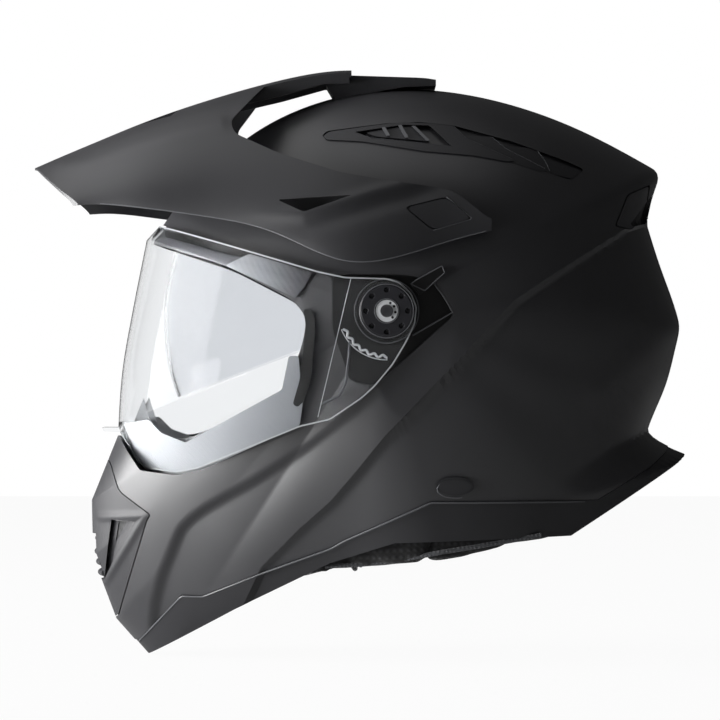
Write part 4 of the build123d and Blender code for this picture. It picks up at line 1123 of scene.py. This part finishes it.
ventLook = {"floor": 1.5, "floorLap": 0.05, "cover": 0.3, "edge": 0.25, "plateLap": 0.2, "plateCorner": 1.2,
            "windowCorner": 1.0, "rib": (1.3, 0.8, 0.5), "sliderPlate": (-0.2, 1.2, 1.0),
            "plates": [
                (0.8, [(322.8, 136.8), (328.8, 132.0), (387, 123.8), (403, 122.4), (429.6, 123.4),
                       (453.6, 126), (465.6, 138), (514.8, 160.5), (508, 161.5), (474, 155.5),
                       (424.4, 151.2), (394.5, 146.5), (362, 141.5), (327.4, 139.8)]),
                (0.2, [(450, 127), (467, 135.8), (492, 136.8), (506.4, 148.8), (547.2, 170.5),
                       (540, 171.5), (505, 160.5), (460, 150)]),
                (-0.4, [(495, 139), (508.8, 145.9), (536.4, 148.8), (546, 162), (552, 172.8),
                        (545, 173.5), (520, 163)]),
                (-0.9, [(535, 151), (546, 158.9), (578.4, 169.2), (583, 171), (572.4, 179),
                        (549.6, 173.4), (540, 168)])],
            "edges": [("Window", [(357, 133), (372, 138), (431, 144), (455, 147)], -1.2),
                      ("Front", [(454, 126.6), (466, 138.4), (512, 159.2)], 0.7),
                      ("Second", [(492, 137.3), (506.4, 149.2), (545, 168.6)], 0.1),
                      ("Third", [(536.4, 149.3), (546, 162.3), (549.6, 171)], -0.5)],
            "window": [(355, 132), (403, 125), (429, 125.5), (452, 146.5), (372, 138.5)],
            "slider": [(366, 132.8), (400, 127), (414, 126), (430, 141.5), (376, 136.5)],
            "ribs": [[(381.5, 127.5), (385, 127), (390, 135.5), (386.5, 136)],
                     [(398, 125.5), (401.5, 125), (408.5, 137.5), (405, 138)],
                     [(411.5, 126), (415, 126), (430, 140.5), (426.5, 141)]]}


def skin(points, rise, depth, radius=0.0):
    # a plate that follows the shell's left side: everything between two shell surfaces inside an outline
    body = combine(prismX(points, 0, overrun, 0, radius), tool(-rise), "INTERSECT", keep=True)
    return combine(body, tool(depth), keep=True)


def makeVent():
    # a floor in the pocket and four plates on it like scales, open where the slider shows
    inside = ventLook["cover"]
    body = skin(grown(side(topVent), -inside), -ventLook["floor"] + ventLook["floorLap"],
                shared["pocket"] + inside, corner["vent"])
    for rise, pixels in ventLook["plates"]:
        join(body, skin(seen(pixels), rise, ventLook["floor"] + ventLook["plateLap"], ventLook["plateCorner"]))
    return cut(body, prismX(seen(ventLook["window"]), 0, overrun, 0, ventLook["windowCorner"]))


def makeRibs():
    # three slanting ribs on the slider
    return join(*[skin(seen(pixels), *ventLook["rib"]) for pixels in ventLook["ribs"]])


settlePair(makeVent(), "topVent", "helmet", ventPlastic, "top_vent_cover", "vent_plastic")
settlePair(skin(seen(ventLook["slider"]), *ventLook["sliderPlate"]), "topVentSlider", "vent_slider",
           ventPlastic, "top_vent_slider", "vent_plastic")
# the slider's ribs and the beads along the plates' edges are drawn in the edge grey: painted highlights
settlePair(makeRibs(), "topVentRibs", "vent_slider", edgeHighlightGrey)
for label, pixels, lift in ventLook["edges"]:
    beadPair(liftedOn(denser(seen(pixels)), lift), ventLook["edge"], "ventEdge" + label, sides=6)
print("crown vents made")


def makeCap():
    # a plate in the peak's pocket, a little proud of the arch
    plate = prismX(side(capLine), 0, overrun, -capLook["gap"], capLook["corner"])
    return cut(meet(plate, peakBlank(capLook["proud"])), peakBlank(-capLook["floor"]))


settlePair(makeCap(), "peakCap", "helmet", peakShadedPaint, "peak_cap", "cap")
exhaustLook = {"cover": 0.3, "sink": 0.1, "floor": 1.5, "slotLow": 6.0, "slotCorner": 1.5, "slotX": 24,
               "slot": [(626.5, 226), (629.5, 228.5), (646, 224), (655, 196), (651, 196)]}
exhaustSlot = seen(exhaustLook["slot"], exhaustLook["slotX"])
rearVent = cut(skin(grown(side(exhaust), -exhaustLook["cover"]), -exhaustLook["sink"], exhaustLook["floor"],
                    corner["exhaust"]),
               prismX(exhaustSlot, exhaustLook["slotLow"], overrun, 0, exhaustLook["slotCorner"]))
settlePair(rearVent, "rearExhaust", "helmet", paint, "rear_exhaust", "vent_plastic")
cut(shell, *bothSides(exhaustSlot, exhaustLook["slotLow"], 0, exhaustLook["slotCorner"]))


def makePlug():
    # oval plug with a shallow rim line
    body = skin(plugOval(0), -plugLook["sink"], plugLook["floor"])
    return join(body, skin(plugOval(-plugLook["rim"]), plugLook["proud"], plugLook["floor"]))


settlePair(makePlug(), "sidePlug", "helmet", ventPlastic, "side_plug", "vent_plastic")
# a bead round the plug in the edge grey: a painted highlight
turn = np.radians(np.linspace(70, 290, 40))
plugEdge = seen(np.column_stack([455.7 + 18.6 * np.cos(turn), 489 - 8.8 * np.sin(turn)]), 108)
beadPair(liftedOn(plugEdge, -plugLook["edgeSink"]), plugLook["edge"], "plugEdge")

# chin vent

bezelLook = {"joint": 0.3, "ridgeFrom": 12.0, "pocketLow": 10.0, "pocketLap": 0.4, "pocketWall": 1.3,
             "slotLow": 5.0, "plateSink": 3.4, "plateFloor": 4.8, "bar": (3.2, 2.3), "barBack": 5.7,
             "bow": 0.012, "pocketEdge": 0.3, "pocketDepth": 4.2, "pocketRun": 9.0, "ridge": 0.9,
             "ridgeWidth": 2.2, "back": 1.5,
             "pocket": [(111.3, 519.5), (134.5, 521.5), (104.4, 579.5)],
             "slot": [(111.3, 519.5), (118.5, 520.3), (112.6, 562), (104.4, 579.5)],
             "ridges": [[(100, 517), (145, 515.8)], [(145, 515.8), (101, 591)]],
             "gridWindow": [(-0.560, -0.404), (-0.516, -0.404), (-0.508, -0.480), (-0.560, -0.480)],
             "gridHalf": 15.0, "slats": [(-0.5315, -0.4125), (-0.5325, -0.4345), (-0.530, -0.4515),
                                         (-0.527, -0.4690)]}
bezelPocket = seen(bezelLook["pocket"])


def bezelDepth(x, y, z):
    # two raised ridges that frame the side pocket: ridge * exp(-(distance / width)^2)
    out = 0
    for pixels in bezelLook["ridges"]:
        ridge = bell(distanceTo(y, z, seen(pixels)), bezelLook["ridgeWidth"])
        out = np.maximum(out, bezelLook["ridge"] * ridge)
    return -out * (np.abs(x) > bezelLook["ridgeFrom"])


def pocketSlope(x, y, z):
    # the pocket's floor: nearly flush along its long ridge, sloping down to the slot in front
    away = np.abs(distanceTo(y, z, bezelPocket[1:]))
    slope = np.clip(away / bezelLook["pocketRun"], 0, 1)
    return bezelLook["pocketEdge"] + bezelLook["pocketDepth"] * slope


def frontDome(inset=0.0, depth=None):
    return dome(inset=inset, line=outlineOf(shellRuns, 2.6, fine=(0, 1, 2, 3, 4)), across=360, depth=depth)


def gridHole():
    return prismX(side(bezelLook["gridWindow"]), -bezelLook["gridHalf"], bezelLook["gridHalf"])


def makeBezel():
    # a plate on the chin with the grille's window, and a sloping pocket with its slot on each side
    k = bezelLook
    body = meet(frontDome(depth=bezelDepth), through(side(bezelLine), -k["joint"], corner["bezel"]))
    combine(body, tool(k["back"]), keep=True)
    cut(body, gridHole())
    holes, slots = bothSides(bezelPocket, k["pocketLow"]), bothSides(seen(k["slot"]), k["slotLow"])
    blanks = bothSides(bezelPocket, k["pocketLow"], k["pocketLap"])
    for hole, slot, blank in zip(holes, slots, blanks):
        floor = meet(blank, frontDome(depth=pocketSlope))
        cut(body, hole)
        join(body, cut(floor, frontDome(k["pocketWall"], pocketSlope), slot))
    return body


def makeSlats():
    # bars with a rounded front, bowed across the chin: y = front + bow * x^2
    x = np.linspace(-bezelLook["gridHalf"] - 1, bezelLook["gridHalf"] + 1, 25)
    profile = ellipse((0, 0), *bezelLook["bar"], 20)
    bow = bezelLook["bow"] * x ** 2
    bars = []
    for y, z in side(bezelLook["slats"]):
        grid = np.stack([np.broadcast_to(x, (20, 25)), y + bezelLook["barBack"] + profile[:, :1] + bow,
                         z + profile[:, 1:] + 0 * bow], -1)
        bars.append(loftClosed("slat", grid))
    return join(*bars)


settle(makeBezel(), "chinBezel", "helmet", bezelPlastic, ["chin_vent_bezel"], "bezel")
settle(makeSlats(), "chinSlats", "helmet", bezelPlastic, ["chin_vent_grille"], "black_plastic")
slotPlate = skin(seen(bezelLook["slot"]), -bezelLook["plateSink"], bezelLook["plateFloor"])
settlePair(slotPlate, "chinSlotPlate", "helmet", bezelPlastic)
cut(shell, *bothSides(bezelPocket, bezelLook["pocketLow"], -bezelLook["pocketLap"]), gridHole())
print("chin vent made")

# pivots

knobLook = {"low": 126.0, "height": 5.2, "dimples": 8, "dimpleCircle": 12.0, "dimpleRadius": 1.6,
            "dimpleDepth": 1.8, "dish": 7.4, "dishDepth": 0.5, "crown": (14.2, 1.8, 1.3), "bore": 1.95,
            "markLow": 3.6, "markHigh": 6.3, "notch": 0.75, "notches": [-48, -8, 32, 66]}
screwLook = {"head": 3.4, "headFaces": (131.3, 132.7), "shank": 1.8, "shankFaces": (118.6, 131.4),
             "slot": (2.3, 0.35), "slotFloor": 132.0, "turn": 0.5}
ratchetLook = {"x": 121.5, "from": 22.0, "span": 69.0, "teeth": 6, "reach": 26.0, "tooth": 0.75,
               "arc": 27.9, "arcRadius": 0.32}


def makeKnob():
    # height over radius and turn: a crowned disc, a dish in the middle and a ring of round dimples
    k = knobLook
    r = np.r_[0.02, np.linspace(1.9, 15.2, 64), 15.6, 15.85, 16.0]
    t = fullTurn(180)
    rr, tt = np.meshgrid(r, t, indexing="ij")
    edge, width, drop = k["crown"]
    top = k["height"] - drop * softStep((rr - edge) / width)
    top = top - k["dishDepth"] * softStep((k["dish"] - rr) / 0.5)
    pitch = 2 * np.pi / k["dimples"]
    near = (tt + pitch / 2) % pitch - pitch / 2
    d = np.hypot(rr * np.cos(near) - k["dimpleCircle"], rr * np.sin(near))
    top -= k["dimpleDepth"] * softStep((k["dimpleRadius"] - d) / 0.6)
    top = np.maximum(top, 0.2)
    sheet = np.stack([k["low"] + top, pivot[0] + rr * np.cos(tt), pivot[1] + rr * np.sin(tt)], -1)
    bottom = sheet[[-1, 0]].copy()
    bottom[..., 0] = k["low"]
    body = loftClosed("knob", np.swapaxes(np.concatenate([sheet, bottom], 0), 0, 1))
    return cut(body, barX(*pivot, k["bore"], 100, overrun))


def makeMark():
    # the pale ring set in the knob's dish, with small round notches on its rear side
    k = knobLook
    top = k["low"] + k["height"] - k["dishDepth"]
    body = cut(barX(*pivot, k["markHigh"], top - 0.2, top + 0.25, 96),
               barX(*pivot, k["markLow"], top - 1, top + 1, 96))
    away = 0.5 * (k["markLow"] + k["markHigh"])
    for turn in np.radians(k["notches"]):
        y, z = pivot[0] + away * math.cos(turn), pivot[1] + away * math.sin(turn)
        cut(body, barX(y, z, k["notch"], top - 1, top + 1, 24))
    return body


def makeScrew():
    # a pan head with a cross slot on its shank
    k = screwLook
    body = join(barX(*pivot, k["head"], *k["headFaces"], count=64),
                barX(*pivot, k["shank"], *k["shankFaces"]))
    long, wide = k["slot"]
    for turn in (k["turn"], k["turn"] + math.pi / 2):
        c, n = math.cos(turn), math.sin(turn)
        slot = [(pivot[0] + a * long * c - b * wide * n, pivot[1] + a * long * n + b * wide * c)
                for a, b in ((-1, -1), (1, -1), (1, 1), (-1, 1))]
        cut(body, prismX(slot, k["slotFloor"], k["slotFloor"] + 2))
    return body


recessLook = {"thick": 0.25, "lift": 0.02, "joint": 0.5, "corner": 4.0, "edgeX": 112, "edgeSink": 0.2,
              "bead": 0.45, "edge": [(433, 283), (443, 296), (452.4, 312.4), (412.4, 335.5)]}


def makeRecessPlate():
    outline = rounded(grown(side(pivotLanding), -recessLook["joint"]), recessLook["corner"])
    return prismX(outline, shared["landing"] + recessLook["lift"], shared["landing"] + recessLook["thick"])


settlePair(makeRecessPlate(), "pivotRecess", "helmet", nylon)
# a bead along the recess's edge in the edge grey: a painted highlight
edge = denser(seen(recessLook["edge"], recessLook["edgeX"]))
beadPair(liftedOn(edge, -recessLook["edgeSink"]), recessLook["bead"], "recessEdge")
settlePair(makeKnob(), "pivotKnob", "knob", knobNylonSheen, "pivot_knob", "black_plastic")
settlePair(makeMark(), "knobMark", "knob", paleNylon)
settlePair(makeScrew(), "pivotScrew", "helmet", steel, "pivot_screw", "screw")

# the ratchet's teeth: reach + tooth * cos over so many periods, and the plain arc outside them, both in the
# pale grey of a painted glint
k = ratchetLook
share = np.linspace(0, 1, 140)
arc = np.radians(k["from"] + k["span"] * share)
wave = k["reach"] + k["tooth"] * np.cos(2 * np.pi * k["teeth"] * share)
for label, reach, radius in (("Teeth", wave, k["tooth"]), ("Arc", k["arc"] + 0 * wave, k["arcRadius"])):
    path = np.column_stack([np.full(140, k["x"]), pivot[0] - reach * np.cos(arc),
                            pivot[1] - reach * np.sin(arc)])
    beadPair(path, radius, "ratchet" + label, material=ratchetGlintGrey, sharp=50)

# rings round the pivot, beads in the edge grey that paint highlight rings: name, body, ring radius, x, bead
# radius
for name, body, ring, x, bead in (("pivotBoss", "helmet", 18.3, 124.2, 0.35),
                                  ("knobRingOuter", "knob", 15.3, 131.05, 0.28),
                                  ("knobRingInner", "knob", 6.9, 131.2, 0.28)):
    beadPair(circleX(*pivot, ring, x), bead, name, body, closed=True)
# the lever's outline as a bead in the edge grey: a painted highlight
leverLook = {"x": 122.6, "bead": 0.35,
             "edge": [(-0.003, 0.004), (0.006, 0.0105), (0.047, 0.033), (0.051, 0.022), (0.0195, -0.0065)]}
lever = denser(side(leverLook["edge"]), 1.0, True)
lever = np.column_stack([np.full(len(lever), leverLook["x"]), lever])
settle(tube(lever, leverLook["bead"], closed=True), "leverEdge", "visor", edgeHighlightGrey)
print("pivots made")

# soft pieces

padLook = {"voxel": 5.0, "pressure": 4.0, "steps": 20, "piping": 1.4}
cheekLook = {"corner": 14.0, "step": 3.0, "inset": 11.0, "portGap": 4.5, "linerLap": 1.5,
             "inner": 58.0, "depth": 45.0, "centre": (-0.130, -0.300), "travel": 5.0, "fill": 0.7,
             "outline": [(-0.295, -0.228), (-0.208, -0.140), (-0.120, -0.130), (-0.072, -0.203),
                         (0.015, -0.258), (0.040, -0.330), (0.044, -0.440), (-0.070, -0.460),
                         (-0.150, -0.478), (-0.190, -0.496), (-0.262, -0.502), (-0.298, -0.350)],
             "sections": [(0, 0.62), (0.05, 0.80), (0.15, 0.93), (0.3, 0.99), (0.62, 1.0), (0.85, 0.95),
                          (1, 0.8)],
             "mesh": (-79.0, -55.0, -160.0)}
neckLook = {"joint": 1.2, "corner": 6.0, "inset": 11.5, "headLap": 7, "travel": 4.0}
neckRoll = [(0.034, -0.330), (0.110, -0.300), (0.180, -0.316), (0.330, -0.306), (0.420, -0.250),
            (0.450, -0.285), (0.250, -0.400), (0.160, -0.418), (0.085, -0.437), (0.016, -0.449)]
# the channels' widths: between gores and along the hem in millimetres, along the belts in degrees
crownLook = {"thick": 8.4, "low": -30.0, "channel": 2.4, "gores": 8, "belt": (22.0, 60.0),
             "goreWidth": 2.2, "beltWidth": 1.6, "hemWidth": 2.0, "inset": 0.4}
strapLook = {"anchor": (0.050, -0.325), "chin": (-0.105, -0.425), "span": 103.0, "drop": 67.8,
             "half": 11.0, "thick": 0.9, "eye": (9.4, 2.8, 4.8), "bend": 14.0, "bendSteps": 8, "step": 1.5,
             "room": 1.6,
             "path": [(1.0, -0.12), (1.0, 0.09), (0.92, 0.34), (0.76, 0.65), (0.45, 0.92), (0.118, 1.0)]}


def ribbon(path, thick, half, closed=False):
    # a flat band on edge in the strap's plane, a little thicker along both selvages
    ahead = np.roll(path, -1, 0) - np.roll(path, 1, 0)
    if not closed:
        ahead[0], ahead[-1] = path[1] - path[0], path[-1] - path[-2]
    ahead /= np.linalg.norm(ahead, axis=1, keepdims=True)
    aside = np.stack([-ahead[:, 1], ahead[:, 0]], 1)
    w = np.sin(np.linspace(-math.pi / 2, math.pi / 2, 31))
    t = thick * (0.84 + 0.16 * bell(np.abs(w) - 0.9, 0.06)) * (1 - 0.6 * np.abs(w) ** 60)
    profile = np.vstack([np.column_stack([t, w]), np.column_stack([-t, w])[::-1]])
    start, end = side([strapLook["anchor"], strapLook["chin"]])
    slope = np.array([0, *(end - start)]) / np.linalg.norm(end - start)
    over = np.cross([1, 0, 0], slope)
    flat = path[None] + aside[None] * profile[:, :1, None]
    grid = np.array([0, *start]) + flat[..., :1] * [1, 0, 0] + flat[..., 1:] * slope
    grid = grid + profile[:, 1:, None] * half * over
    return ringMesh("ribbon", grid) if closed else loftClosed("ribbon", grid)


def strapPath():
    # the hanging loop with its bends rounded, its two ends left sharp
    bends = np.array(strapLook["path"]) * [strapLook["span"], strapLook["drop"]]
    inner = rounded(bends, strapLook["bend"], strapLook["bendSteps"]).reshape(len(bends), -1, 2)
    return denser(np.vstack([bends[:1], inner[1:-1].reshape(-1, 2), bends[-1:]]), strapLook["step"])


def makeStrap():
    # the webbing and the eye that it is sewn into round the rings
    x, a, b = strapLook["eye"]
    eye = ellipse((x, strapLook["drop"]), a, b, 48)
    return join(ribbon(strapPath(), strapLook["thick"], strapLook["half"]),
                ribbon(eye, strapLook["thick"], strapLook["half"], True))


def strapRoom():
    # what the strap and its clearance cut out of the padding
    return ribbon(strapPath(), strapLook["thick"] + strapLook["room"], strapLook["half"] + strapLook["room"])


def swell(obj, travel):
    # the cover swells over its foam: evenly remeshed, blown up without weight, no point beyond its travel
    mod = obj.modifiers.new("even", "REMESH")
    mod.mode = "VOXEL"
    mod.voxel_size = padLook["voxel"] * mm
    bake(obj)
    before = pointsOf(obj)
    mod = obj.modifiers.new("cover", "CLOTH")
    mod.settings.use_pressure = True
    mod.settings.uniform_pressure_force = padLook["pressure"]
    mod.settings.effector_weights.gravity = 0
    mod.point_cache.frame_end = padLook["steps"]
    for step in range(1, padLook["steps"] + 1):
        bpy.context.scene.frame_set(step)
    bake(obj)
    bpy.context.scene.frame_set(1)
    move = pointsOf(obj) - before
    far = np.linalg.norm(move, axis=1, keepdims=True)
    moved = before + move * np.minimum(1, travel * mm / np.maximum(far, 1e-9))
    obj.data.vertices.foreach_set("co", moved.ravel())
    obj.data.update()
    mod = obj.modifiers.new("smooth", "SUBSURF")
    mod.levels = mod.render_levels = 1
    return bake(obj)


def makeCheekPad():
    # the outline carried inwards, drawn in towards both faces: x = inner + depth * share
    centre = side([cheekLook["centre"]])[0]
    outline = denser(rounded(side(cheekLook["outline"]), cheekLook["corner"], 8), cheekLook["step"], True)
    share, size = np.array(cheekLook["sections"]).T
    scale = np.array([cheekLook["depth"], 50])
    share, size = (denser(np.column_stack([share, size]) * scale, 2.5) / scale).T
    flat = centre + (outline - centre)[:, None] * size[None, :, None]
    x = np.broadcast_to(cheekLook["inner"] + cheekLook["depth"] * share, flat.shape[:2])
    body = loftClosed("pad", np.concatenate([x[..., None], flat], -1))
    combine(body, tool(cheekLook["inset"], *roughTool), "INTERSECT", keep=True)
    cut(body, through(side(eyePort), cheekLook["portGap"], shellLook["portCorner"]),
        through(side(linerLine), cheekLook["linerLap"]))
    return cut(swell(body, cheekLook["travel"]), strapRoom())


def makeNeckRoll():
    # the padding round the back of the neck, swollen over its foam
    body = combine(through(side(neckRoll), -neckLook["joint"], neckLook["corner"]),
                   tool(neckLook["inset"], *roughTool), "INTERSECT", keep=True)
    swell(cut(body, headForm(neckLook["headLap"])), neckLook["travel"])
    left = strapRoom()
    return cut(body, flipX(left, "room"), left)


def makeCrownPad():
    # a thin dome inside the liner, thinner along its sewn channels: gores from the top and two belts
    turn = fullTurn(192)[:, None]
    lift = np.radians(np.r_[np.linspace(89.9, 0, 46), np.zeros(8)])
    drop = np.r_[np.zeros(46), np.linspace(3, -crownLook["low"], 8)]
    gores, longest = crownLook["gores"], headLook["half"][1]
    near = np.abs((turn * gores / (2 * np.pi) + 0.5) % 1 - 0.5) * longest * 2 * np.pi / gores
    dent = bell(near * np.cos(lift), crownLook["goreWidth"])
    for belt in crownLook["belt"]:
        dent = np.maximum(dent, bell(np.degrees(lift) - belt, crownLook["beltWidth"]))
    dent = np.maximum(dent, bell(drop + crownLook["low"], crownLook["hemWidth"]))
    half = np.array(headLook["half"]) - crownLook["inset"]

    def sheet(inset):
        a, b, c = [h - inset for h in half]
        return np.stack([a * np.cos(lift) * np.cos(turn), b * np.cos(lift) * np.sin(turn),
                         c * np.sin(lift) - drop + 0 * inset], -1)
    outer = sheet(np.zeros(dent.shape))
    inner = sheet(crownLook["thick"] - crownLook["channel"] * dent)
    body = loftClosed("pad", np.concatenate([outer, inner[:, ::-1]], 1))
    return meet(body, through(side(linerLine), -0.3))


settlePair(makeCheekPad(), "cheekPad", "helmet", knit, "cheek_pad", "lining", sharp=60)
for label in ("left", "right"):
    pad = bpy.data.objects["cheekPad_" + label]
    pad.data.materials.append(airMesh)
    centres = np.empty(len(pad.data.polygons) * 3)
    pad.data.polygons.foreach_get("center", centres)
    x, y, z = centres.reshape(-1, 3).T * 1000
    low = (y < cheekLook["mesh"][1]) & (z < cheekLook["mesh"][2]) & (y > cheekLook["mesh"][0])
    pad.data.polygons.foreach_set("material_index", low.astype(np.int32))
roll = settle(makeNeckRoll(), "neckRoll", "helmet", knit, ["neck_roll"], "lining", sharp=60)
crown = settle(makeCrownPad(), "crownPad", "helmet", knit, ["crown_pad"], "lining", sharp=50)
settlePair(makeStrap(), "chinStrap", "helmet", webbing, "chin_strap", "webbing", sharp=50)
# the piping along the pads' lower seam: a point of the reference view and the x that it is seen at
pipingRoute = [(325, 566, 82), (345, 565.5, 82), (372, 563.5, 83), (400, 560, 88), (440, 552.5, 96),
               (480, 546, 97), (520, 539, 96), (541, 535, 95)]
piping = np.array([[x, *seen([(u, v)], x)[0]] for u, v, x in pipingRoute])
beadPair(denser(piping), padLook["piping"], "padPiping", material=pipingKnit)
print("soft pieces made")

# materials of the CAD nodes that stay

stay = {"chin_vent_shutter": nylon, "sun_visor_lever": nylon, "crown_mount": ventPlastic,
        "chin_strap_rings": chrome}
for name, material in (("pivot_plate", nylon), ("shield_ratchet", nylon), ("sun_visor_shaft", steel),
                       ("peak_screw", steel), ("strap_rivet", steel)):
    stay.update({name + "_left": material, name + "_right": material})
for name, material in stay.items():
    data = nodes[name].data
    data.materials.clear()
    data.materials.append(material)

# floor, light and camera

studio = {"floor": "#c4c4c4", "floorLevel": -0.2180, "floorHalf": 3.0, "glow": 0.955, "world": 0.05,
          "lens": 216.7, "sensor": 36.0}
# each lamp: place, the point it faces, its two sides in metres, power in watts
lamps = {"frontSoftbox": ((0.05, -1.9, -0.1), (0, -0.05, -0.05), (1.5, 1.9), 128.0),
         "sideSoftbox": ((0.85, -1.9, -0.15), (0, -0.12, -0.1), (0.6, 0.5), 20.0),
         "highFrontSoftbox": ((-0.3, -1.1, 1.1), (0, -0.3, -0.1), (1.6, 1.0), 6.0),
         "lowFrontSoftbox": ((0.42, -0.60, -0.16), (0.06, -0.12, -0.15), (0.4, 0.06), 1.0),
         "topSoftbox": ((0.3, -0.4, 1.9), (0, 0, 0), (1.6, 1.6), 5.0)}


def makeFloor():
    # a pale floor that the camera sees almost white
    mesh = bpy.data.meshes.new("floor")
    z, size = studio["floorLevel"], studio["floorHalf"]
    mesh.from_pydata([(-size, -size, z), (size, -size, z), (size, size, z), (-size, size, z)], [],
                     [(0, 1, 2, 3)])
    floor = bpy.data.objects.new("floor", mesh)
    bpy.context.scene.collection.objects.link(floor)
    material, tree, shader, _ = startMaterial("paleFloor", {
        "Base Color": linear(studio["floor"]), "Roughness": 0.8, "Specular IOR Level": 0.1})
    path = addNode(tree, "ShaderNodeLightPath")
    glow = addNode(tree, "ShaderNodeEmission", {"Color": (1, 1, 1, 1), "Strength": 1.0})
    share = addNode(tree, "ShaderNodeMath", {"operation": "MULTIPLY", 1: studio["glow"]},
                    {0: path.outputs["Is Camera Ray"]})
    mix = addNode(tree, "ShaderNodeMixShader", None, {"Fac": share.outputs[0], 1: shader.outputs[0],
                                                      2: glow.outputs[0]})
    tree.links.new(mix.outputs[0], tree.nodes["Material Output"].inputs["Surface"])
    mesh.materials.append(material)


def makeWorld():
    # dim for the part's own light, white where the camera or the clear sheets look at it
    world = bpy.data.worlds.new("studio")
    world.use_nodes = True
    bpy.context.scene.world = world
    tree = world.node_tree
    dim = tree.nodes["Background"]
    dim.inputs["Color"].default_value = (1, 1, 1, 1)
    dim.inputs["Strength"].default_value = studio["world"]
    path = addNode(tree, "ShaderNodeLightPath")
    white = addNode(tree, "ShaderNodeBackground", {"Color": (1, 1, 1, 1), "Strength": 1.0})
    lookedAt = addNode(tree, "ShaderNodeMath", {"operation": "MAXIMUM"},
                       {0: path.outputs["Is Camera Ray"], 1: path.outputs["Is Transmission Ray"]})
    mix = addNode(tree, "ShaderNodeMixShader", None, {"Fac": lookedAt.outputs[0], 1: dim.outputs[0],
                                                      2: white.outputs[0]})
    tree.links.new(mix.outputs[0], tree.nodes["World Output"].inputs["Surface"])


def addLamp(name, place, target, size, power):
    data = bpy.data.lights.new(name, "AREA")
    data.shape = "RECTANGLE"
    data.size, data.size_y = size
    data.energy = power
    lamp = bpy.data.objects.new(name, data)
    bpy.context.scene.collection.objects.link(lamp)
    lamp.location = place
    lamp.visible_camera = False
    lamp.rotation_euler = (Vector(target) - Vector(place)).to_track_quat("-Z", "Y").to_euler()


makeFloor()
makeWorld()
for name, (place, target, size, power) in lamps.items():
    addLamp(name, place, target, size, power)
camera = bpy.data.objects.new("camera", bpy.data.cameras.new("camera"))
bpy.context.scene.collection.objects.link(camera)
camera.location = (view["away"] * mm, (view["middle"] - view["origin"][0]) * view["mmPerPixel"] * mm,
                   (view["origin"][1] - view["middle"]) * view["mmPerPixel"] * mm)
camera.rotation_euler = (math.pi / 2, 0, math.pi / 2)
camera.data.lens = studio["lens"]
camera.data.sensor_width = studio["sensor"]
bpy.context.scene.camera = camera
bpy.context.scene.view_settings.view_transform = "Standard"
print("studio made")

for made in keptTools.values():
    bpy.data.meshes.remove(made.data)
